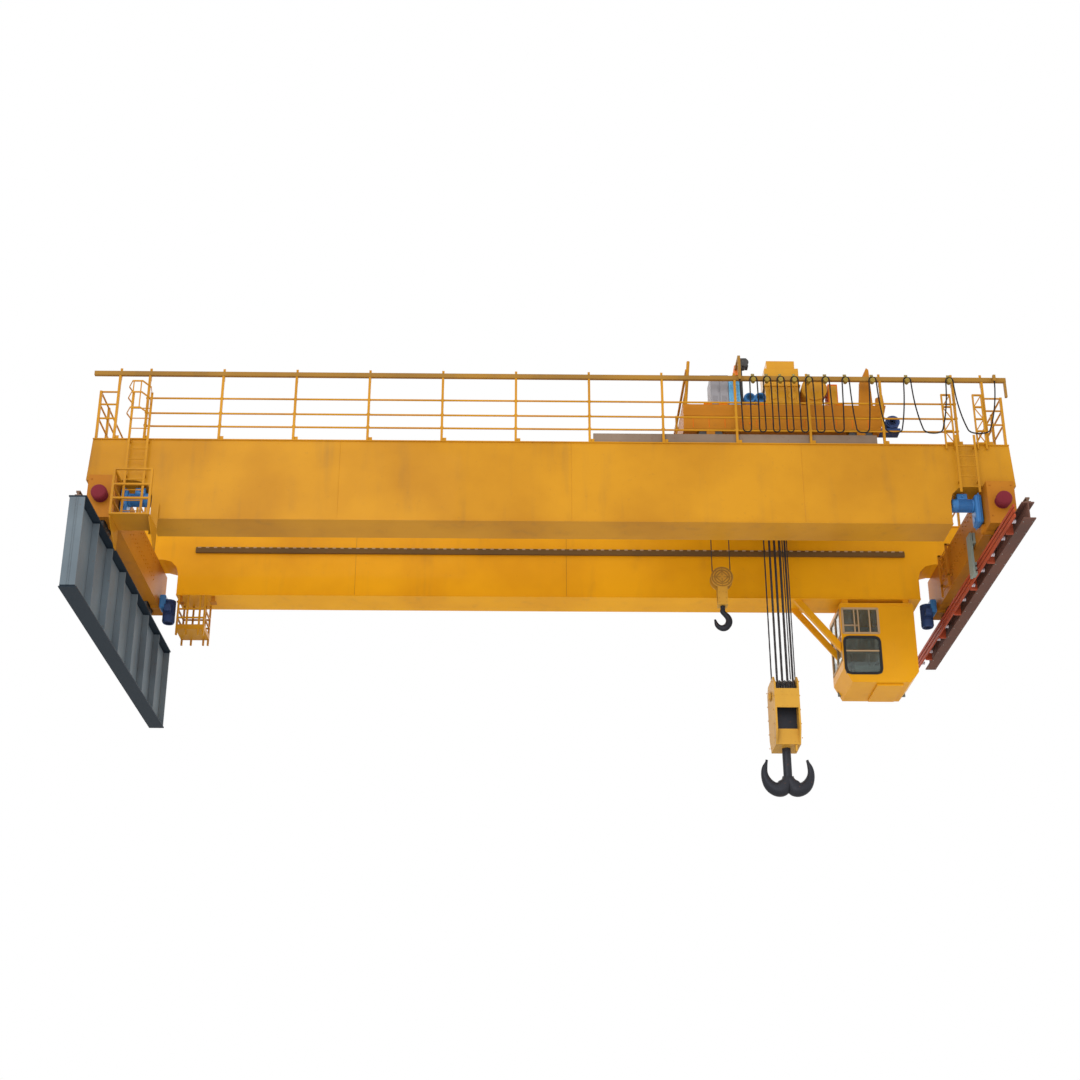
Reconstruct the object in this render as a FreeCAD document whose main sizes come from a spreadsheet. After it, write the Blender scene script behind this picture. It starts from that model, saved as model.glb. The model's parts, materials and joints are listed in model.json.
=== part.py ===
import FreeCAD, Part
import math
import os
import re

import Sketcher

# Double-girder overhead travelling crane with main and auxiliary hoist, operator's cab and a
# short length of its runway. Millimetres. X runs along the bridge, Y along the runway, Z up.
# X = 0 is the left runway rail, Y = 0 the middle of the bridge, Z = 0 the runway's underside.

SIZES = {
    # runway
    "span": 22500,
    "runway_length": 9100,
    "runway_depth": 2400,
    "runway_flange": 420,
    "runway_plate": 30,
    "runway_panel": 1300,
    "right_beam_depth": 450,
    "right_beam_flange": 300,
    "rail_height": 120,
    "rail_width": 100,
    "bar_pitch": 130,
    "bar_thick": 40,
    "bar_reach": 180,
    # bridge girders
    "girder_depth": 2300,
    "girder_width": 930,
    "girder_gauge": 4310,
    "girder_lip": 35,
    "flange_thick": 25,
    "girder_lift": 330,
    "front_inset": 1200,
    "rear_inset": 930,
    "end_overhang": 500,
    "end_depth": 1200,
    "throat_radius": 450,
    "end_slant": 60,
    # end carriages and wheels
    "carriage_width": 700,
    "carriage_length": 5700,
    "carriage_clear": 240,
    "carriage_plate": 25,
    "wheel_radius": 350,
    "wheel_width": 150,
    "wheel_base": 4600,
    "axle_radius": 60,
    "running_gap": 0.3,
    "wheel_clear": 40,
    "buffer_radius": 200,
    "buffer_length": 260,
    # railings
    "post_size": 60,
    "post_pitch": 1893,
    "ladder_inset": 830,
    "end_post": 70,
    "tube_radius": 24,
    "hand_rail": 1230,
    "knee_rail": 785,
    "low_rail": 400,
    "track_height": 1900,
    "post_peak": 130,
    "track_depth": 120,
    "track_width": 80,
    "rail_inset": 70,
    # ladders and platforms
    "ladder_width": 470,
    "lattice_bar": 40,
    "lattice_width": 260,
    "lattice_height": 1470,
    "hoop_levels": 1250,
    "hoop_reach": 560,
    "hoop_depth": 45,
    "rung_pitch": 296,
    "rung_radius": 14,
    "platform_width": 980,
    "platform_reach": 850,
    "platform_drop": 300,
    "platform_rail": 1240,
    "deck_thick": 40,
    # cab
    "cab_length": 2050,
    "cab_depth": 1400,
    "cab_height": 2340,
    "cab_wall": 50,
    "cab_gap": 160,
    "drive_gear_width": 180,
    "drive_gear_depth": 400,
    "drive_motor_radius": 170,
    "drive_motor_length": 540,
    "drive_motor_reach": 260,
    "drive_box_width": 220,
    "drive_drop": 410,
    "cab_from_right": 1170,
    "cab_chamfer": 420,
    "glass_thick": 10,
    # trolley
    "trolley_centre": 17300,
    "trolley_length": 5300,
    "trolley_overhang": 145,
    "trolley_lift": 600,
    "trolley_depth": 740,
    "trolley_beam": 360,
    "trolley_slant": 180,
    "trolley_rail_height": 130,
    "trolley_rail_width": 90,
    "trolley_wheel_radius": 315,
    "trolley_wheel_width": 130,
    "trolley_wheel_base": 3900,
    "drum_radius": 420,
    "drum_length": 2600,
    "drum_lift": 560,
    # main hook block
    "main_hook_x": 17250,
    "main_block_top": -380,
    "main_block_width": 640,
    "main_block_depth": 1060,
    "main_block_height": 1840,
    "main_cheek": 45,
    "main_sheave_radius": 400,
    "main_sheave_width": 90,
    "main_sheave_pitch": 135,
    "main_sheave_count": 4,
    "main_pin_radius": 70,
    "main_rope_radius": 20,
    "main_shank_radius": 110,
    "main_shank_drop": 900,
    "main_hook_reach": 1290,
    # auxiliary hook block
    "aux_hook_x": 15790,
    "aux_sheave_height": 2590,
    "aux_sheave_radius": 225,
    "aux_cheek_radius": 300,
    "aux_cheek": 30,
    "aux_block_width": 260,
    "aux_pin_radius": 40,
    "aux_rope_radius": 14,
    "aux_neck_radius": 130,
    "aux_neck_length": 800,
    "aux_shank_radius": 62,
    "aux_hook_drop": 760,
    # festoon
    "carrier_length": 90,
    "carrier_count": 10,
    "neck_radius": 92,
    "cable_radius": 18,
    "loop_depth": 1660,
    "tow_point": 16100,
    "fixed_point": 22725,
    "festoon_reach": 150,
}

doc = FreeCAD.newDocument("BridgeCrane")
sheet = doc.addObject("Spreadsheet::Sheet", "Sizes")
for row, (alias, number) in enumerate(SIZES.items(), start=1):
    sheet.set("A%d" % row, alias)
    sheet.set("B%d" % row, str(number))
    sheet.setAlias("B%d" % row, alias)
doc.recompute()

nodes = []


def size(alias):
    """A driving dimension as a number, read from the sheet."""
    return float(sheet.get(alias))


def formula(text):
    """The text with each driving dimension written as the sheet's cell."""
    if isinstance(text, (int, float)):
        return "%g" % text
    return re.sub(r"[a-z]+(?:_[a-z]+)*", lambda word: "Sizes." + word.group(0)
                  if word.group(0) in SIZES else word.group(0), text)


def bind(piece, name, text):
    """Ties a property to a formula of driving dimensions."""
    piece.setExpression(name, formula(text))


def place(piece, place_x, place_y, place_z):
    """Ties the piece's position to formulas."""
    bind(piece, "Placement.Base.x", place_x)
    bind(piece, "Placement.Base.y", place_y)
    bind(piece, "Placement.Base.z", place_z)


def box(low_x, low_y, low_z, length, width, height):
    """A box from its lowest corner."""
    piece = doc.addObject("Part::Box", "Box")
    bind(piece, "Length", length)
    bind(piece, "Width", width)
    bind(piece, "Height", height)
    place(piece, low_x, low_y, low_z)
    return piece


TURNS = {
    "X": FreeCAD.Rotation(FreeCAD.Vector(0, 1, 0), 90),
    "Y": FreeCAD.Rotation(FreeCAD.Vector(1, 0, 0), -90),
    "Z": FreeCAD.Rotation(),
}


def rod(axis, start_x, start_y, start_z, radius, length):
    """A cylinder along an axis, from the centre of its lower end."""
    piece = doc.addObject("Part::Cylinder", "Rod")
    piece.Placement = FreeCAD.Placement(FreeCAD.Vector(), TURNS[axis])
    bind(piece, "Radius", radius)
    bind(piece, "Height", length)
    place(piece, start_x, start_y, start_z)
    return piece


def between(first, last, radius):
    """A round bar between two points given as numbers."""
    start = FreeCAD.Vector(*first)
    run = FreeCAD.Vector(*last) - start
    piece = doc.addObject("Part::Cylinder", "Bar")
    bind(piece, "Radius", radius)
    piece.Height = run.Length
    piece.Placement = FreeCAD.Placement(start, FreeCAD.Rotation(FreeCAD.Vector(0, 0, 1), run))
    return piece


def fuse(pieces):
    """One solid of several that touch or cross."""
    joined = doc.addObject("Part::MultiFuse", "Joined")
    joined.Shapes = pieces
    joined.Refine = False
    return joined


def cut(base, tools):
    """The base less the tools."""
    tool = tools[0] if len(tools) == 1 else fuse(tools)
    result = doc.addObject("Part::Cut", "Cut")
    result.Base = base
    result.Tool = tool
    result.Refine = False
    return result


def node(label, pieces):
    """Names a sub-part; several pieces are kept as separate solids of it."""
    if isinstance(pieces, list):
        group = doc.addObject("Part::Compound", "Group")
        group.Links = pieces
        pieces = group
    pieces.Label = label
    nodes.append(pieces)
    return pieces


PLANES = {"XY": "XY_Plane", "XZ": "XZ_Plane", "YZ": "YZ_Plane"}


def origin_plane(body, plane):
    """The body's own origin plane."""
    for feature in body.Origin.OriginFeatures:
        if feature.Role == PLANES[plane]:
            return feature
    raise ValueError("no plane " + plane)


def outline(body, plane, corners):
    """A closed sketch of straight lines; each corner is tied to two formulas."""
    sketch = body.newObject("Sketcher::SketchObject", "Outline")
    sketch.AttachmentSupport = [(origin_plane(body, plane), "")]
    sketch.MapMode = "FlatFace"
    points = [FreeCAD.Vector(worth(across), worth(up), 0) for across, up in corners]
    for index, point in enumerate(points):
        sketch.addGeometry(Part.LineSegment(point, points[(index + 1) % len(points)]))
    for index in range(len(points)):
        following = (index + 1) % len(points)
        sketch.addConstraint(Sketcher.Constraint("Coincident", index, 2, following, 1))
    for index, (across, up) in enumerate(corners):
        for kind, text, number in (("DistanceX", across, points[index].x),
                                   ("DistanceY", up, points[index].y)):
            tie = sketch.addConstraint(Sketcher.Constraint(kind, -1, 1, index, 1, number))
            name = "%s_%d" % (kind, index)
            sketch.renameConstraint(tie, name)
            sketch.setExpression("Constraints." + name, formula(text))
    return sketch


def worth(text):
    """The number that a formula gives."""
    if isinstance(text, (int, float)):
        return float(text)
    return float(sheet.evalExpression(formula(text).replace("Sizes.", "")))


def plate(plane, corners, thickness, place_x=0, place_y=0, place_z=0):
    """A plate of that outline, centred on its plane."""
    body = doc.addObject("PartDesign::Body", "Plate")
    sketch = outline(body, plane, corners)
    pad = body.newObject("PartDesign::Pad", "Pad")
    pad.Profile = sketch
    if hasattr(pad, "SideType"):
        pad.SideType = "Symmetric"
    else:
        pad.Midplane = True
    bind(pad, "Length", thickness)
    body.Tip = pad
    place(body, place_x, place_y, place_z)
    return body


# ---------------------------------------------------------------- levels and lines

RAIL_TOP = "(runway_depth + rail_height)"
GIRDER_LOW = "(%s + girder_lift)" % RAIL_TOP
GIRDER_TOP = "(%s + girder_depth)" % GIRDER_LOW
END_LOW = "(%s - end_depth)" % GIRDER_TOP
AXLE = "(%s + wheel_radius + running_gap)" % RAIL_TOP
CARRIAGE_LOW = "(%s + carriage_clear)" % RAIL_TOP
RUNWAY_START = "(0 - runway_length / 2)"
FRONT = "(0 - girder_gauge / 2)"
REAR = "(girder_gauge / 2)"
FRONT_FACE = "(%s - girder_width / 2)" % FRONT
REAR_FACE = "(%s - girder_width / 2)" % REAR
TROLLEY_RAIL_TOP = "(%s + trolley_rail_height)" % GIRDER_TOP
TROLLEY_LOW = "(%s + trolley_lift)" % GIRDER_TOP
TROLLEY_TOP = "(%s + trolley_depth)" % TROLLEY_LOW
ROPE_TOP = "(%s + 200)" % TROLLEY_LOW
TROLLEY_LEFT = "(trolley_centre - trolley_length / 2)"
TROLLEY_RIGHT = "(trolley_centre + trolley_length / 2)"


# ---------------------------------------------------------------- runway

def runway_girder():
    """Welded plate girder under the left rail, with a stiffener at every panel on both sides."""
    flange = "runway_plate"
    pieces = [
        box("0 - runway_flange / 2", RUNWAY_START, 0, "runway_flange", "runway_length", flange),
        box("0 - runway_flange / 2", RUNWAY_START, "runway_depth - runway_plate",
            "runway_flange", "runway_length", flange),
        box("0 - runway_plate / 2", RUNWAY_START, flange, "runway_plate", "runway_length",
            "runway_depth - 2 * runway_plate"),
    ]
    panels = int(size("runway_length") // size("runway_panel"))
    for index in range(panels + 1):
        middle = "(%d - %g) * runway_panel" % (index, panels / 2)
        pieces.append(box("0 - runway_flange / 2 + runway_plate", middle + " - runway_plate / 2",
                          flange, "runway_flange - 2 * runway_plate", "runway_plate",
                          "runway_depth - 2 * runway_plate"))
    return node("left_runway_girder", fuse(pieces))


def right_runway():
    """Shallow rolled beam under the right rail."""
    low = "(runway_depth - right_beam_depth)"
    left = "span - right_beam_flange / 2"
    return node("right_runway_beam", fuse([
        box(left, RUNWAY_START, low, "right_beam_flange", "runway_length", "runway_plate"),
        box(left, RUNWAY_START, "runway_depth - runway_plate", "right_beam_flange",
            "runway_length", "runway_plate"),
        box("span - runway_plate / 2", RUNWAY_START, low + " + runway_plate", "runway_plate",
            "runway_length", "right_beam_depth - 2 * runway_plate"),
    ]))


def rail_section(middle_x):
    """Crane rail: a broad foot, a web and a head."""
    foot = "(rail_height / 6)"
    head = "(rail_height / 3)"
    return fuse([
        box(middle_x + " - rail_width * 0.75", RUNWAY_START, "runway_depth",
            "rail_width * 1.5", "runway_length", foot),
        box(middle_x + " - rail_width / 4", RUNWAY_START, "runway_depth + " + foot,
            "rail_width / 2", "runway_length", "rail_height - " + foot + " - " + head),
        box(middle_x + " - rail_width / 2", RUNWAY_START, "runway_depth + rail_height - " + head,
            "rail_width", "runway_length", head),
    ])


def conductor_bars():
    """Three power bars on brackets bolted to the inner side of the right runway beam."""
    inner = "span - right_beam_flange / 2"
    pieces = []
    brackets = 6
    for index in range(brackets):
        where = "%s + runway_length * %g" % (RUNWAY_START, (index + 0.5) / brackets)
        pieces.append(box(inner + " - bar_reach", where, "runway_depth - right_beam_depth",
                          "bar_reach", "runway_plate * 2", "right_beam_depth"))
    bars = 3
    for index in range(bars):
        level = "runway_depth - right_beam_depth + bar_pitch * %g" % (index + 0.35)
        pieces.append(box(inner + " - bar_reach - bar_thick", RUNWAY_START, level, "bar_thick",
                          "runway_length", "bar_thick * 2"))
    return node("conductor_bars", fuse(pieces))


# ---------------------------------------------------------------- bridge

def girder(label, middle_y, inset):
    """Box girder with raised ends: a core of full width under and over lipped flanges."""
    left = "(%s)" % inset
    right = "(span - %s)" % inset
    low = GIRDER_LOW + " + flange_thick"
    top = GIRDER_TOP + " - flange_thick"
    throat = "throat_radius"
    corners = [(left, low), (right, low), (right, END_LOW + " - throat_radius")]
    corners += [(right + " + throat_radius * 0.134", END_LOW + " - throat_radius / 2"),
                (right + " + throat_radius / 2", END_LOW + " - throat_radius * 0.134"),
                (right + " + " + throat, END_LOW)]
    corners += [("span + end_overhang", END_LOW), ("span + end_overhang - end_slant", top),
                ("0 - end_overhang + end_slant", top), ("0 - end_overhang", END_LOW)]
    corners += [(left + " - " + throat, END_LOW),
                (left + " - throat_radius / 2", END_LOW + " - throat_radius * 0.134"),
                (left + " - throat_radius * 0.134", END_LOW + " - throat_radius / 2"),
                (left, END_LOW + " - throat_radius")]
    core = plate("XZ", corners, "girder_width - 2 * girder_lip", place_y=middle_y)
    face = "%s - girder_width / 2" % middle_y
    upper = box("0 - end_overhang + end_slant", face, top,
                "span + 2 * end_overhang - 2 * end_slant", "girder_width", "flange_thick")
    lower = box(left, face, GIRDER_LOW, "%s - %s" % (right, left), "girder_width",
                "flange_thick")
    return node(label, fuse([core, upper, lower]))


def trolley_rails():
    """Bar rails along the middle of both girders' top flanges."""
    return node("trolley_rails", [
        box("0 - end_overhang / 2", "%s - trolley_rail_width / 2" % middle, GIRDER_TOP,
            "span + end_overhang", "trolley_rail_width", "trolley_rail_height")
        for middle in (FRONT, REAR)])


def carriage(label, rail_x):
    """End carriage over one rail: a box beam under both girders, open below for its wheels."""
    body = box(rail_x + " - carriage_width / 2", "0 - carriage_length / 2", CARRIAGE_LOW,
               "carriage_width", "carriage_length", END_LOW + " - " + CARRIAGE_LOW)
    pockets = []
    for side in (-1, 1):
        middle = "%d * wheel_base / 2" % side
        pockets.append(box(rail_x + " - wheel_width / 2 - wheel_clear",
                           middle + " - wheel_radius - wheel_clear", CARRIAGE_LOW + " - 1",
                           "wheel_width + 2 * wheel_clear", "2 * wheel_radius + 2 * wheel_clear",
                           "2 * wheel_radius + wheel_clear - carriage_clear + 1"))
    hollow = cut(body, pockets)
    bosses = [rod("X", rail_x + " - carriage_width / 2 - carriage_plate", "%d * wheel_base / 2"
                  % side, AXLE, "wheel_radius * 0.42", "carriage_width + 2 * carriage_plate")
              for side in (-1, 1)]
    holes = [rod("X", rail_x + " - carriage_width", "%d * wheel_base / 2" % side, AXLE,
                 "axle_radius + running_gap", "2 * carriage_width") for side in (-1, 1)]
    inner = [box(rail_x + " - wheel_width / 2 - wheel_clear",
                 "%d * wheel_base / 2 - wheel_radius" % side, CARRIAGE_LOW + " - wheel_radius",
                 "wheel_width + 2 * wheel_clear", "2 * wheel_radius", "2 * wheel_radius")
             for side in (-1, 1)]
    return node(label, cut(fuse([hollow] + bosses), holes + inner))


def wheel(label, rail_x, side):
    """Flanged travel wheel with its axle; the flanges hang each side of the rail head."""
    middle = "%d * wheel_base / 2" % side
    flange = "(wheel_width - rail_width) / 2 - 6"
    pieces = [
        rod("X", rail_x + " - rail_width / 2 - 6", middle, AXLE, "wheel_radius",
            "rail_width + 12"),
        rod("X", rail_x + " - wheel_width / 2", middle, AXLE, "wheel_radius + 25", flange),
        rod("X", rail_x + " + rail_width / 2 + 6", middle, AXLE, "wheel_radius + 25", flange),
        rod("X", rail_x + " - carriage_width / 2 - 20", middle, AXLE, "axle_radius",
            "carriage_width + 40"),
    ]
    return node(label, fuse(pieces))


def buffers():
    """Round rubber buffers on both ends of both carriages."""
    pieces = []
    level = "(%s + %s) / 2" % (CARRIAGE_LOW, END_LOW)
    for rail_x in ("0", "span"):
        for side in (-1, 1):
            near = "carriage_length / 2" if side > 0 else "0 - carriage_length / 2 - buffer_length"
            stem = "carriage_length / 2" if side > 0 else "0 - carriage_length / 2 - 80"
            shift = " + 60" if side > 0 else ""
            pieces.append(fuse([
                rod("Y", rail_x, near + shift, level, "buffer_radius", "buffer_length - 60"),
                rod("Y", rail_x, stem, level, "buffer_radius / 2", 80),
            ]))
    return node("buffers", pieces)


# ---------------------------------------------------------------- railings and ladders

RAILING_Y = "(%s + rail_inset)" % FRONT_FACE


def post_lines():
    """Formulas for the post middles: an even row between the ladders and one by each end."""
    gaps = int((size("span") - 2 * size("ladder_inset")) // size("post_pitch"))
    row = ["span / 2 + %g * post_pitch" % (index - gaps / 2) for index in range(gaps + 1)]
    return ["0 + end_post"] + row + ["span - end_post"]


def front_railing():
    """Posts and three rails along the front girder; the posts carry on up past the track."""
    pieces = []
    lines = post_lines()
    for middle in lines:
        pieces.append(box(middle + " - post_size / 2", RAILING_Y + " - post_size / 2", GIRDER_TOP,
                          "post_size", "post_size", "track_height"))
        pieces.append(box(middle + " - post_size / 2", RAILING_Y + " + track_width / 2",
                          TRACK_LOW + " - post_peak", "post_size", "post_size / 3",
                          "track_depth + 2 * post_peak"))
        pieces.append(box(middle + " - post_size / 2", RAILING_Y, TRACK_LOW + " - post_peak",
                          "post_size", "track_width / 2 + 1", "post_peak - 20"))
        pieces.append(box(middle + " + post_size / 2", RAILING_Y + " - 5", GIRDER_TOP,
                          "post_size * 1.5", 10, "post_size * 2"))
    for level in ("hand_rail", "knee_rail", "low_rail"):
        pieces.append(rod("X", lines[1], RAILING_Y, GIRDER_TOP + " + " + level,
                          "tube_radius", "%s - (%s)" % (lines[-2], lines[1])))
    return node("front_railing", fuse(pieces))


TRACK_LOW = "(%s + track_height)" % GIRDER_TOP
TRACK_LEFT = "(0 - end_overhang - 100)"
TRACK_RIGHT = "(span + end_overhang + 70)"


def festoon_track():
    """Channel track on top of the posts, open below for the cable carriers."""
    solid = box(TRACK_LEFT, RAILING_Y + " - track_width / 2", TRACK_LOW,
                "%s - %s" % (TRACK_RIGHT, TRACK_LEFT), "track_width", "track_depth")
    drop = box(TRACK_RIGHT + " - 60", RAILING_Y + " - 30", GIRDER_TOP + " + 1450", 60, 60,
               "track_height - 1450")
    clamp = fuse([
        box("fixed_point - 35", "%s - festoon_reach - 35" % RAILING_Y, TRACK_LOW + " - 60", 70,
            70, "track_depth + 60"),
        box("fixed_point - 35", "%s - festoon_reach - 35" % RAILING_Y, TRACK_LOW + " + 40", 70,
            "festoon_reach + 35", 40),
    ])
    return node("festoon_track", fuse([solid, drop, clamp]))


END_RAIL = "(hand_rail + 200)"


def end_railing(side):
    """Railing across one end of the bridge, from girder to girder, with a short front return."""
    if side < 0:
        line = "(0 - end_overhang + end_slant + post_size)"
        inner = "(0 + end_post - post_size / 2)"
        low_x, length = line, "%s - %s" % (inner, line)
    else:
        line = "(span + end_overhang - end_slant - post_size)"
        inner = "(span - end_post + post_size / 2)"
        low_x, length = inner, "%s - %s" % (line, inner)
    pieces = []
    finish = "%s + girder_width / 2 - rail_inset" % REAR
    stops = (RAILING_Y, "%s + girder_width / 2 - rail_inset" % FRONT,
             "%s - girder_width / 2 + rail_inset" % REAR, finish)
    for where in stops:
        pieces.append(box(line + " - post_size / 2", where + " - post_size / 2", GIRDER_TOP,
                          "post_size", "post_size", END_RAIL))
    for level in (END_RAIL + " - tube_radius", "knee_rail + 250", "low_rail + 220"):
        pieces.append(rod("Y", line, RAILING_Y, GIRDER_TOP + " + " + level, "tube_radius",
                          "%s - %s" % (finish, RAILING_Y)))
        pieces.append(rod("X", low_x, RAILING_Y, GIRDER_TOP + " + " + level, "tube_radius",
                          length))
    return fuse(pieces)


def rear_railing():
    """Posts and rails along the rear girder."""
    line = "%s + girder_width / 2 - rail_inset" % REAR
    lines = post_lines()[1:-1]
    pieces = [box(middle + " - post_size / 2", line + " - post_size / 2", GIRDER_TOP,
                  "post_size", "post_size", "hand_rail + tube_radius") for middle in lines]
    for level in ("hand_rail", "knee_rail", "low_rail"):
        pieces.append(rod("X", lines[0], line, GIRDER_TOP + " + " + level, "tube_radius",
                          "%s - (%s)" % (lines[-1], lines[0])))
    return node("rear_railing", fuse(pieces))


PLATFORM_LEFT = "(front_inset - 770)"
PLATFORM_TOP = "(%s - platform_drop)" % GIRDER_LOW
DECK_Y = "(%s - platform_reach)" % FRONT_FACE


LADDER_Y = "(%s - 120)" % FRONT_FACE


def ladder(middle_x, low, rise):
    """Stiles, rungs and wall brackets of a vertical ladder, as loose pieces to join."""
    left = "(%s - ladder_width / 2)" % middle_x
    right = "(%s + ladder_width / 2)" % middle_x
    pieces = []
    for stile in (left, right):
        pieces.append(box(stile + " - 30", LADDER_Y + " - 8", low, 60, 16, rise))
        for level in (GIRDER_TOP + " - 120", END_LOW + " + 80"):
            pieces.append(box(stile + " - 25", LADDER_Y + " + 8", level, 50,
                              "120 - 8 + girder_lip", 12))
    rungs = int((worth(rise) - 100) // size("rung_pitch"))
    for index in range(rungs):
        pieces.append(rod("X", left, LADDER_Y, "%s + 150 + %d * rung_pitch" % (low, index),
                          "rung_radius", "ladder_width"))
    return pieces


def left_ladder():
    """Ladder from the service deck, with a cage of flat hoops above the girder's top."""
    middle_x = "(front_inset - 450)"
    pieces = ladder(middle_x, PLATFORM_TOP,
                    "%s + hoop_levels + 20 - %s" % (GIRDER_TOP, PLATFORM_TOP))
    for drop in (0, 0.26, 0.62):
        half, out = "ladder_width / 2", "hoop_reach"
        outer = [("0 - %s" % half, "0"), ("0 - %s - 50" % half, "0 - %s * 0.5" % out),
                 ("0 - %s * 0.55" % half, "0 - " + out), (half + " * 0.55", "0 - " + out),
                 (half + " + 50", "0 - %s * 0.5" % out), (half, "0")]
        inner = [(half + " - 12", "0"), (half + " + 36", "0 - %s * 0.5" % out),
                 (half + " * 0.55 - 6", "0 - %s + 12" % out),
                 ("0 - %s * 0.55 + 6" % half, "0 - %s + 12" % out),
                 ("0 - %s - 36" % half, "0 - %s * 0.5" % out), ("12 - " + half, "0")]
        pieces.append(plate("XY", outer + inner, "hoop_depth", middle_x, LADDER_Y,
                            "%s + hoop_levels * (1 - %g)" % (GIRDER_TOP, drop)))
    for side in (-1, 1):
        pieces.append(box("%s + %g * ladder_width - 15" % (middle_x, side * 0.2), LADDER_Y
                          + " - hoop_reach + 12", GIRDER_TOP + " + hoop_levels * 0.38 - 25",
                          30, 8, "hoop_levels * 0.62 + 50"))
    return node("left_ladder", fuse(pieces))


def right_ladder():
    """Short ladder on the right bridge end, with a braced lattice post each side of its top."""
    middle_x = "(span - 720)"
    low = "(%s - 1450)" % GIRDER_TOP
    pieces = ladder(middle_x, low, "%s + 200 - %s" % (GIRDER_TOP, low))
    panels = 4
    base = worth(GIRDER_TOP)
    middle_y = worth(FRONT_FACE) - size("lattice_bar") / 2
    rise = (size("lattice_height") - size("lattice_bar")) / panels
    for shift in ("ladder_width / 2 + lattice_width - 10", "0 - ladder_width / 2 - 95"):
        start = "(%s - (%s))" % (middle_x, shift)
        stiles = (start, start + " + lattice_width - lattice_bar")
        for stile in stiles:
            pieces.append(box(stile, FRONT_FACE + " - lattice_bar", GIRDER_TOP + " - 150",
                              "lattice_bar", "lattice_bar", "lattice_height + 150"))
        for index in range(panels + 1):
            pieces.append(box(start, FRONT_FACE + " - lattice_bar",
                              "%s + %g" % (GIRDER_TOP, index * rise), "lattice_width",
                              "lattice_bar", "lattice_bar"))
        ends = [worth(stile) + size("lattice_bar") / 2 for stile in stiles]
        for index in range(panels):
            foot, head = ends if index % 2 else reversed(ends)
            pieces.append(between(
                (foot, middle_y, base + size("lattice_bar") / 2 + index * rise),
                (head, middle_y, base + size("lattice_bar") / 2 + (index + 1) * rise),
                "rung_radius"))
    return node("right_ladder", fuse(pieces))


def left_platform():
    """Service deck in front of the left bridge end, with its railing and bracket plates."""
    left = PLATFORM_LEFT
    back = FRONT_FACE
    pieces = [box(left, DECK_Y, PLATFORM_TOP + " - deck_thick", "platform_width",
                  "platform_reach", "deck_thick")]
    for across in ("0", "platform_width - 60"):
        pieces.append(box(left + " + " + across, DECK_Y, PLATFORM_TOP, 60, 60,
                          "platform_rail"))
    for level in ("platform_rail - 48", "platform_rail * 0.62", "platform_rail * 0.31"):
        pieces.append(box(left, DECK_Y, PLATFORM_TOP + " + " + level, "platform_width", 48, 48))
        pieces.append(box(left, DECK_Y, PLATFORM_TOP + " + " + level, 48, "platform_reach", 48))
    for across in ("0", "platform_width - 20"):
        pieces.append(plate("YZ", [
            (DECK_Y + " + 60", PLATFORM_TOP + " - deck_thick - 80"),
            (DECK_Y + " + 60", PLATFORM_TOP + " - deck_thick"),
            (back, PLATFORM_TOP + " - deck_thick"),
            (back, PLATFORM_TOP + " - deck_thick - 560"),
            (back + " - 160", PLATFORM_TOP + " - deck_thick - 560"),
        ], 20, place_x=left + " + " + across + " + 10"))
    pieces.append(box("front_inset + 10", back + " - 20", PLATFORM_TOP + " - deck_thick - 100",
                      left + " + platform_width - front_inset - 10", 20,
                      "platform_drop + deck_thick + 500"))
    return node("left_platform", fuse(pieces))


def inspection_platform():
    """Small basket hung under the left end of the rear girder, for the travel drive."""
    left = "(rear_inset + 70)"
    low = "(%s - 1200)" % GIRDER_LOW
    wide = "780"
    deep = "760"
    pieces = [box(left, REAR_FACE, low + " + 170", wide, deep, 140)]
    for across in ("0", "260", "600", "730"):
        for away in ("0", deep + " - 50"):
            pieces.append(box(left + " + " + across, REAR_FACE + " + " + away, low, 50, 50, 1200))
    for level in ("500", "760"):
        for away in ("0", deep + " - 40"):
            pieces.append(box(left, REAR_FACE + " + " + away, low + " + " + level, wide, 40, 40))
        for across in ("0", "740"):
            pieces.append(box(left + " + " + across, REAR_FACE, low + " + " + level, 40, deep,
                              40))
    return node("inspection_platform", fuse(pieces))


def kick_plate():
    """Low plate along the front girder's top where the walkway passes the trolley."""
    return node("kick_plate", box("span / 2 + 1040", RAILING_Y + " + post_size / 2 + 10",
                                  GIRDER_TOP, 7300, 12, 310))


def cable_tray():
    """Covered cable tray on the inner web of the rear girder."""
    inner = "%s + girder_lip" % REAR_FACE
    return node("cable_tray", fuse([
        box("rear_inset + 450", inner + " - 70", GIRDER_LOW + " + 1300", "span - 2 * "
            "rear_inset - 800", 70, 130),
        box("rear_inset + 450", inner + " - 40", GIRDER_LOW + " + 1430", "span - 2 * "
            "rear_inset - 800", 40, 50),
    ]))


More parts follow.
